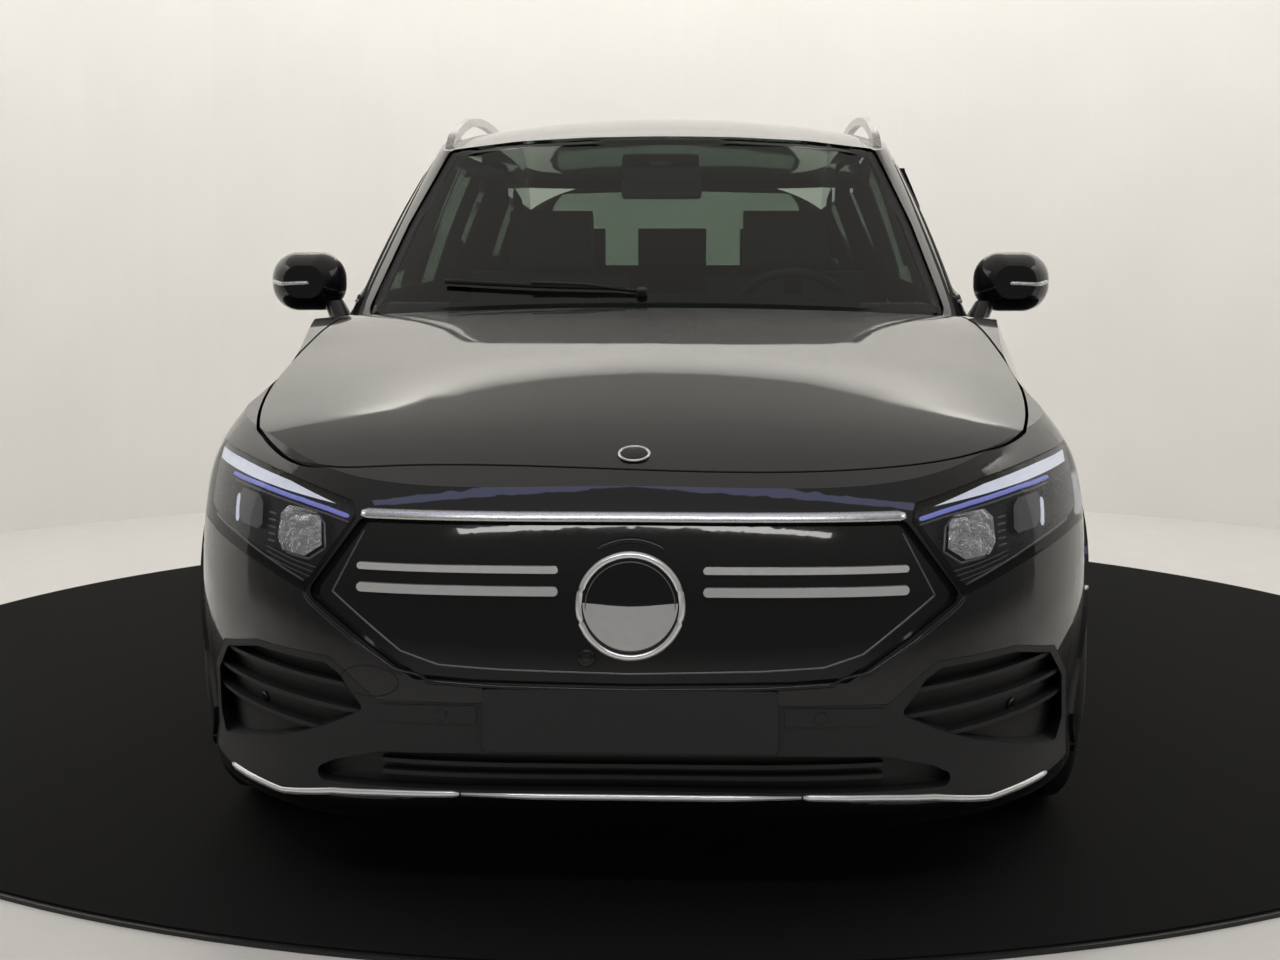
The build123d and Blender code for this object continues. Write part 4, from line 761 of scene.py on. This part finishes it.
# ---------------------------------------------------------------- wheels
# the tyre's section: places as shares of half its width, each with a radius
shoulder = [
    (-0.7, 0.243), (-0.86, 0.25), (-0.97, 0.275), (-1.0, 0.3), (-0.99, 0.325), (-0.93, 0.345),
    (-0.84, 0.3545),
]
grooves = ((-0.46, 0.05), (-0.16, 0.055), (0.16, 0.055), (0.46, 0.05))
groove_slope = 0.012
groove_floor = 0.3515
crown = 0.3588
cut_depth = 0.004
cut_above = 0.353
tread_steps = 216
steps_between_cuts = 6


def tread(low, high):
    """A maker of the tyre in this box: its section turned round, with cuts across its shoulders."""
    radius = (high.z - low.z) / 2 - 0.0003
    half = (high.x - low.x) / 2 - 0.0002
    middle_x = (high.x + low.x) / 2
    centre = (low + high) / 2
    section = list(shoulder)
    for u, w in grooves:
        section += [
            (u - w - groove_slope, crown), (u - w, groove_floor), (u + w, groove_floor),
            (u + w + groove_slope, crown),
        ]
    section += [(-u, r) for u, r in reversed(shoulder)]

    def make(shape):
        rows = []
        for i in range(tread_steps):
            turn = 2 * pi * i / tread_steps
            row = []
            for u, r in section:
                out = min(r, radius)
                if r > cut_above and i % steps_between_cuts == 0 and abs(u) > 0.5:
                    out -= cut_depth
                place = (middle_x + u * half, centre.y + out * cos(turn), centre.z + out * sin(turn))
                row.append(shape.verts.new(place))
            rows.append(row)
        for i in range(tread_steps):
            a, b = rows[i], rows[(i + 1) % tread_steps]
            for j in range(len(section) - 1):
                shape.faces.new((a[j], b[j], b[j + 1], a[j + 1]))
            shape.faces.new((a[-1], b[-1], b[0], a[0]))

    return make


for axle in ("front", "rear"):
    for side, label in ((1, "left"), (-1, "right")):
        low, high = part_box(f"{axle}_rim_{label}")
        centre = (low + high) / 2
        body = f"{axle}_wheel_{label}"
        tree = tree_of(f"{axle}_rim_{label}")
        hub = cast(tree, (side * 1.5, centre.y + 0.02, centre.z), (-side, 0, 0))[0]
        cap = Vector((hub.x, centre.y, centre.z))
        disc_piece(
            f"{axle}_wheel_cap_{label}", cap + Vector((side * 0.001, 0, 0)), (side, 0, 0), 0.031,
            0.008, black_gloss, body, 0.002, 40,
        )
        tube(
            f"{axle}_wheel_cap_ring_{label}",
            circle(cap + Vector((side * 0.004, 0, 0)), (side, 0, 0), 0.031, 40), 0.002, chrome, body,
            "chrome", closed=True, sides=8,
        )

        tyre_maker = tread(*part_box(f"{axle}_tyre_{label}"))
        tyre = solid(f"{axle}_tread_tyre_{label}", tyre_maker, tyre_rubber, body)
        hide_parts(f"{axle}_tyre_{label}")

# ---------------------------------------------------------------- roof
rail_front = -0.12
rail_length = 1.7
rail_steps = 40
for side, label in ((1, "left"), (-1, "right")):
    rail = tree_of("roof_rails")
    line = []
    for k in range(rail_steps + 1):
        y = rail_front + rail_length * k / rail_steps
        found = cast(rail, (side * 0.603, y, 3), (0, 0, -1))
        if found:
            line.append((found[0] - Vector((0, 0, 0.0035)), found[1]))
    strip("rail_cap_" + label, line, 0.021, 0.003, satin, "body", "satin_aluminium")

# ---------------------------------------------------------------- tail
tail_tree = tree_of("tailgate")
low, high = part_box("tailgate_lamp")
lamp_tree = tree_of("tailgate_lamp")
mid_z = (low.z + high.z) / 2
line = lay(lamp_tree, "back", [(-0.57, mid_z + 0.012), (0, mid_z), (0.57, mid_z + 0.012)], 0.02)
strip("tailgate_light_line", line, 0.012, 0.002, bright_red, "tailgate", "lamp_red", 0.0)
for side, label in ((1, "left"), (-1, "right")):
    tree = tree_of("tail_lamp_" + label)
    for k, (v, mat, slot) in enumerate(
        (
            (0.872, bright_red, "lamp_red"), (0.85, bright_red, "lamp_red"),
            (0.826, satin, "satin_aluminium"),
        )
    ):
        line = lay(
            tree, "back", [(side * 0.64, v), (side * 0.74, v + 0.004), (side * 0.83, v + 0.008)], 0.01,
        )
        strip(f"tail_lamp_line_{k}_{label}", line, 0.008, 0.002, mat, "body", slot)
    tree = tree_of("rear_bumper")
    # the rear reflectors wear the glowing bright_red: a painted glow, since a reflector is no lamp
    line = lay(tree, "back", [(side * 0.56, 0.34), (side * 0.7, 0.345)], 0.02)
    strip("rear_reflector_" + label, line, 0.03, 0.004, bright_red, "body", "lamp_red")
    for k in range(2):
        spot = cast(tree, (side * (0.3 + 0.32 * k), 3, 0.44), (0, -1, 0))
        disc_piece(
            f"rear_sensor_{label}_{k}", spot[0] + spot[1] * 0.001, spot[1], 0.011, 0.004, black_gloss,
            "body", 0.001, 24,
        )
tree = tree_of("rear_bumper")
line = lay(tree, "back", [(-0.72, 0.255), (-0.4, 0.24), (0, 0.236), (0.4, 0.24), (0.72, 0.255)], 0.02)
strip("rear_lip_bright", line, 0.012, 0.004, chrome, "body", "chrome")
spot = cast(tail_tree, (0, 3, 0.72), (0, -1, 0))
disc_piece(
    "tail_disc", spot[0] + spot[1] * 0.001, spot[1], 0.045, 0.006, black_gloss, "tailgate",
    0.002, 48,
)
tube(
    "tail_disc_ring", circle(spot[0] + spot[1] * 0.004, spot[1], 0.0455, 48), 0.003, chrome,
    "tailgate", "chrome", closed=True, sides=8,
)
rear_glass = tree_of("tailgate_glass")
line = [
    place + normal * 0.01
    for place, normal in lay(rear_glass, "back", [(0.0, 1.115), (-0.36, 1.135)], 0.03)
]
tube("rear_wiper", line, 0.007, rubber, "tailgate", "black_plastic")
spot = cast(rear_glass, (0, 3, 1.112), (0, -1, 0))
disc_piece(
    "rear_wiper_pivot", spot[0] + spot[1] * 0.006, spot[1], 0.018, 0.018, black_plastic, "tailgate",
    0.003, 24,
)


# ---------------------------------------------------------------- room
def stage_object(name, mesh_maker, mat):
    """A part of the room, which isn't part of the car."""
    mesh = bpy.data.meshes.new(name)
    shape = bmesh.new()
    mesh_maker(shape)
    shape.to_mesh(mesh)
    shape.free()
    obj = bpy.data.objects.new(name, mesh)
    bpy.context.collection.objects.link(obj)
    obj.data.materials.append(mat)
    return obj


floor_paint = surface("floor_paint", (0.5, 0.49, 0.47), (0.58, 0.57, 0.55), (0.3, 0.45), 6.0)
wall_paint = surface("wall_paint", (0.7, 0.69, 0.66), (0.76, 0.75, 0.72), (0.7, 0.85), 2.0)
# the wall is painted on its inner side, and clear from outside
wall_tree = wall_paint.node_tree
painted = wall_tree.nodes["Principled BSDF"]
facing = wall_tree.nodes.new("ShaderNodeNewGeometry")
open_side = wall_tree.nodes.new("ShaderNodeBsdfTransparent")
one_way = wall_tree.nodes.new("ShaderNodeMixShader")
wall_tree.links.new(facing.outputs["Backfacing"], one_way.inputs["Fac"])
wall_tree.links.new(open_side.outputs["BSDF"], one_way.inputs[1])
wall_tree.links.new(painted.outputs["BSDF"], one_way.inputs[2])
wall_tree.links.new(one_way.outputs["Shader"], wall_tree.nodes["Material Output"].inputs["Surface"])
carpet = surface(
    "turntable_carpet", (0.004, 0.004, 0.004), (0.009, 0.009, 0.009), (0.9, 1.0), 900.0, bump=0.6,
)
carpet.node_tree.nodes["Principled BSDF"].inputs["Specular IOR Level"].default_value = 0.12
rim_metal = surface("turntable_edge", (0.01, 0.01, 0.011), (0.02, 0.02, 0.02), (0.3, 0.4), 100.0)
table_radius = 2.4
wall_radius = 3.8
wall_height = 4.2


def disc(radius, top, bottom):
    """A maker of an upright cylinder between two heights."""
    def make(shape):
        bmesh.ops.create_cone(
            shape, cap_ends=True, segments=160, radius1=radius, radius2=radius, depth=top - bottom,
            matrix=Matrix.Translation((0, 0, (top + bottom) / 2)),
        )

    return make


def curved_wall(shape):
    """A wall round the back and sides, open to the camera."""
    steps = 96
    rows = []
    for height in (-0.05, wall_height):
        row = []
        for i in range(steps + 1):
            turn = radians(-20 + 220 * i / steps)
            row.append(shape.verts.new((wall_radius * cos(turn), wall_radius * sin(turn), height)))
        rows.append(row)
    for i in range(steps):
        shape.faces.new((rows[0][i], rows[0][i + 1], rows[1][i + 1], rows[1][i]))


def floor_plate(shape):
    bmesh.ops.create_grid(
        shape, x_segments=1, y_segments=1, size=14, matrix=Matrix.Translation((0, 0, -0.012)),
    )


stage_object("floor", floor_plate, floor_paint)
stage_object("wall", curved_wall, wall_paint)
stage_object("turntable", disc(table_radius, 0.0, -0.05), carpet)
stage_object("turntable_rim", disc(table_radius + 0.012, -0.004, -0.05), rim_metal)


def lamp(name, place, aim, size, power, colour=(1, 0.98, 0.95)):
    """A rectangular lamp at a place, aimed at a point."""
    data = bpy.data.lights.new(name, "AREA")
    data.shape = "RECTANGLE"
    data.size, data.size_y = size
    data.energy = power
    data.color = colour
    obj = bpy.data.objects.new(name, data)
    bpy.context.collection.objects.link(obj)
    obj.location = place
    obj.rotation_euler = (Vector(aim) - Vector(place)).to_track_quat("-Z", "Y").to_euler()
    return obj


lamp("ceiling_left", (-3.0, -0.2, 4.15), (-2.2, 0.6, 0), (0.7, 7.0), 195)
lamp("ceiling_right", (3.0, -0.2, 4.15), (2.2, 0.6, 0), (0.7, 7.0), 195)
lamp("ceiling_back", (0, 3.2, 4.15), (0, 3.5, 0), (4.0, 0.4), 30)
lamp("floor_front", (0, -6.2, 3.8), (0, -4.6, 0), (4.0, 0.3), 55)
lamp("window_glow", (0.0, -4.2, 4.6), (0, -1.8, 0.5), (7.0, 0.4), 17, (0.5, 0.55, 1.0))
lamp("cabin_glow", (0, -0.35, 1.36), (0, 0.4, 0.9), (0.9, 0.3), 2.2)
# these light the car and don't show as streaks in its paint
for spread in ("ceiling_left", "ceiling_right", "ceiling_back", "cabin_glow"):
    bpy.data.objects[spread].visible_glossy = False

world = bpy.data.worlds.new("room")
bpy.context.scene.world = world
world.use_nodes = True
world.node_tree.nodes.clear()
sky_out = world.node_tree.nodes.new("ShaderNodeOutputWorld")
sky = world.node_tree.nodes.new("ShaderNodeBackground")
sky_way = world.node_tree.nodes.new("ShaderNodeTexCoord")
sky_split = world.node_tree.nodes.new("ShaderNodeSeparateXYZ")
sky_ramp = world.node_tree.nodes.new("ShaderNodeMapRange")
# the sky is dim at the horizon and brighter overhead
sky_ramp.inputs["From Min"].default_value = 0.15
sky_ramp.inputs["From Max"].default_value = 0.75
sky_ramp.inputs["To Min"].default_value = 0.2
sky_ramp.inputs["To Max"].default_value = 0.5
world.node_tree.links.new(sky_way.outputs["Generated"], sky_split.inputs["Vector"])
world.node_tree.links.new(sky_split.outputs["Z"], sky_ramp.inputs["Value"])
world.node_tree.links.new(sky_ramp.outputs["Result"], sky.inputs["Strength"])
sky.inputs["Color"].default_value = (0.8, 0.77, 0.7, 1)
world.node_tree.links.new(sky.outputs["Background"], sky_out.inputs["Surface"])

# ---------------------------------------------------------------- camera
view = bpy.data.cameras.new("camera")
view.sensor_width = 36.0
view.lens = 52.1
camera = bpy.data.objects.new("camera", view)
bpy.context.collection.objects.link(camera)
camera.location = (0.14, -5.41, 1.195)
looks_down = 7.0
turned_left = 2.2
camera.rotation_euler = (radians(90 - looks_down), 0, radians(turned_left))
bpy.context.scene.camera = camera
bpy.context.scene.view_settings.view_transform = "Standard"
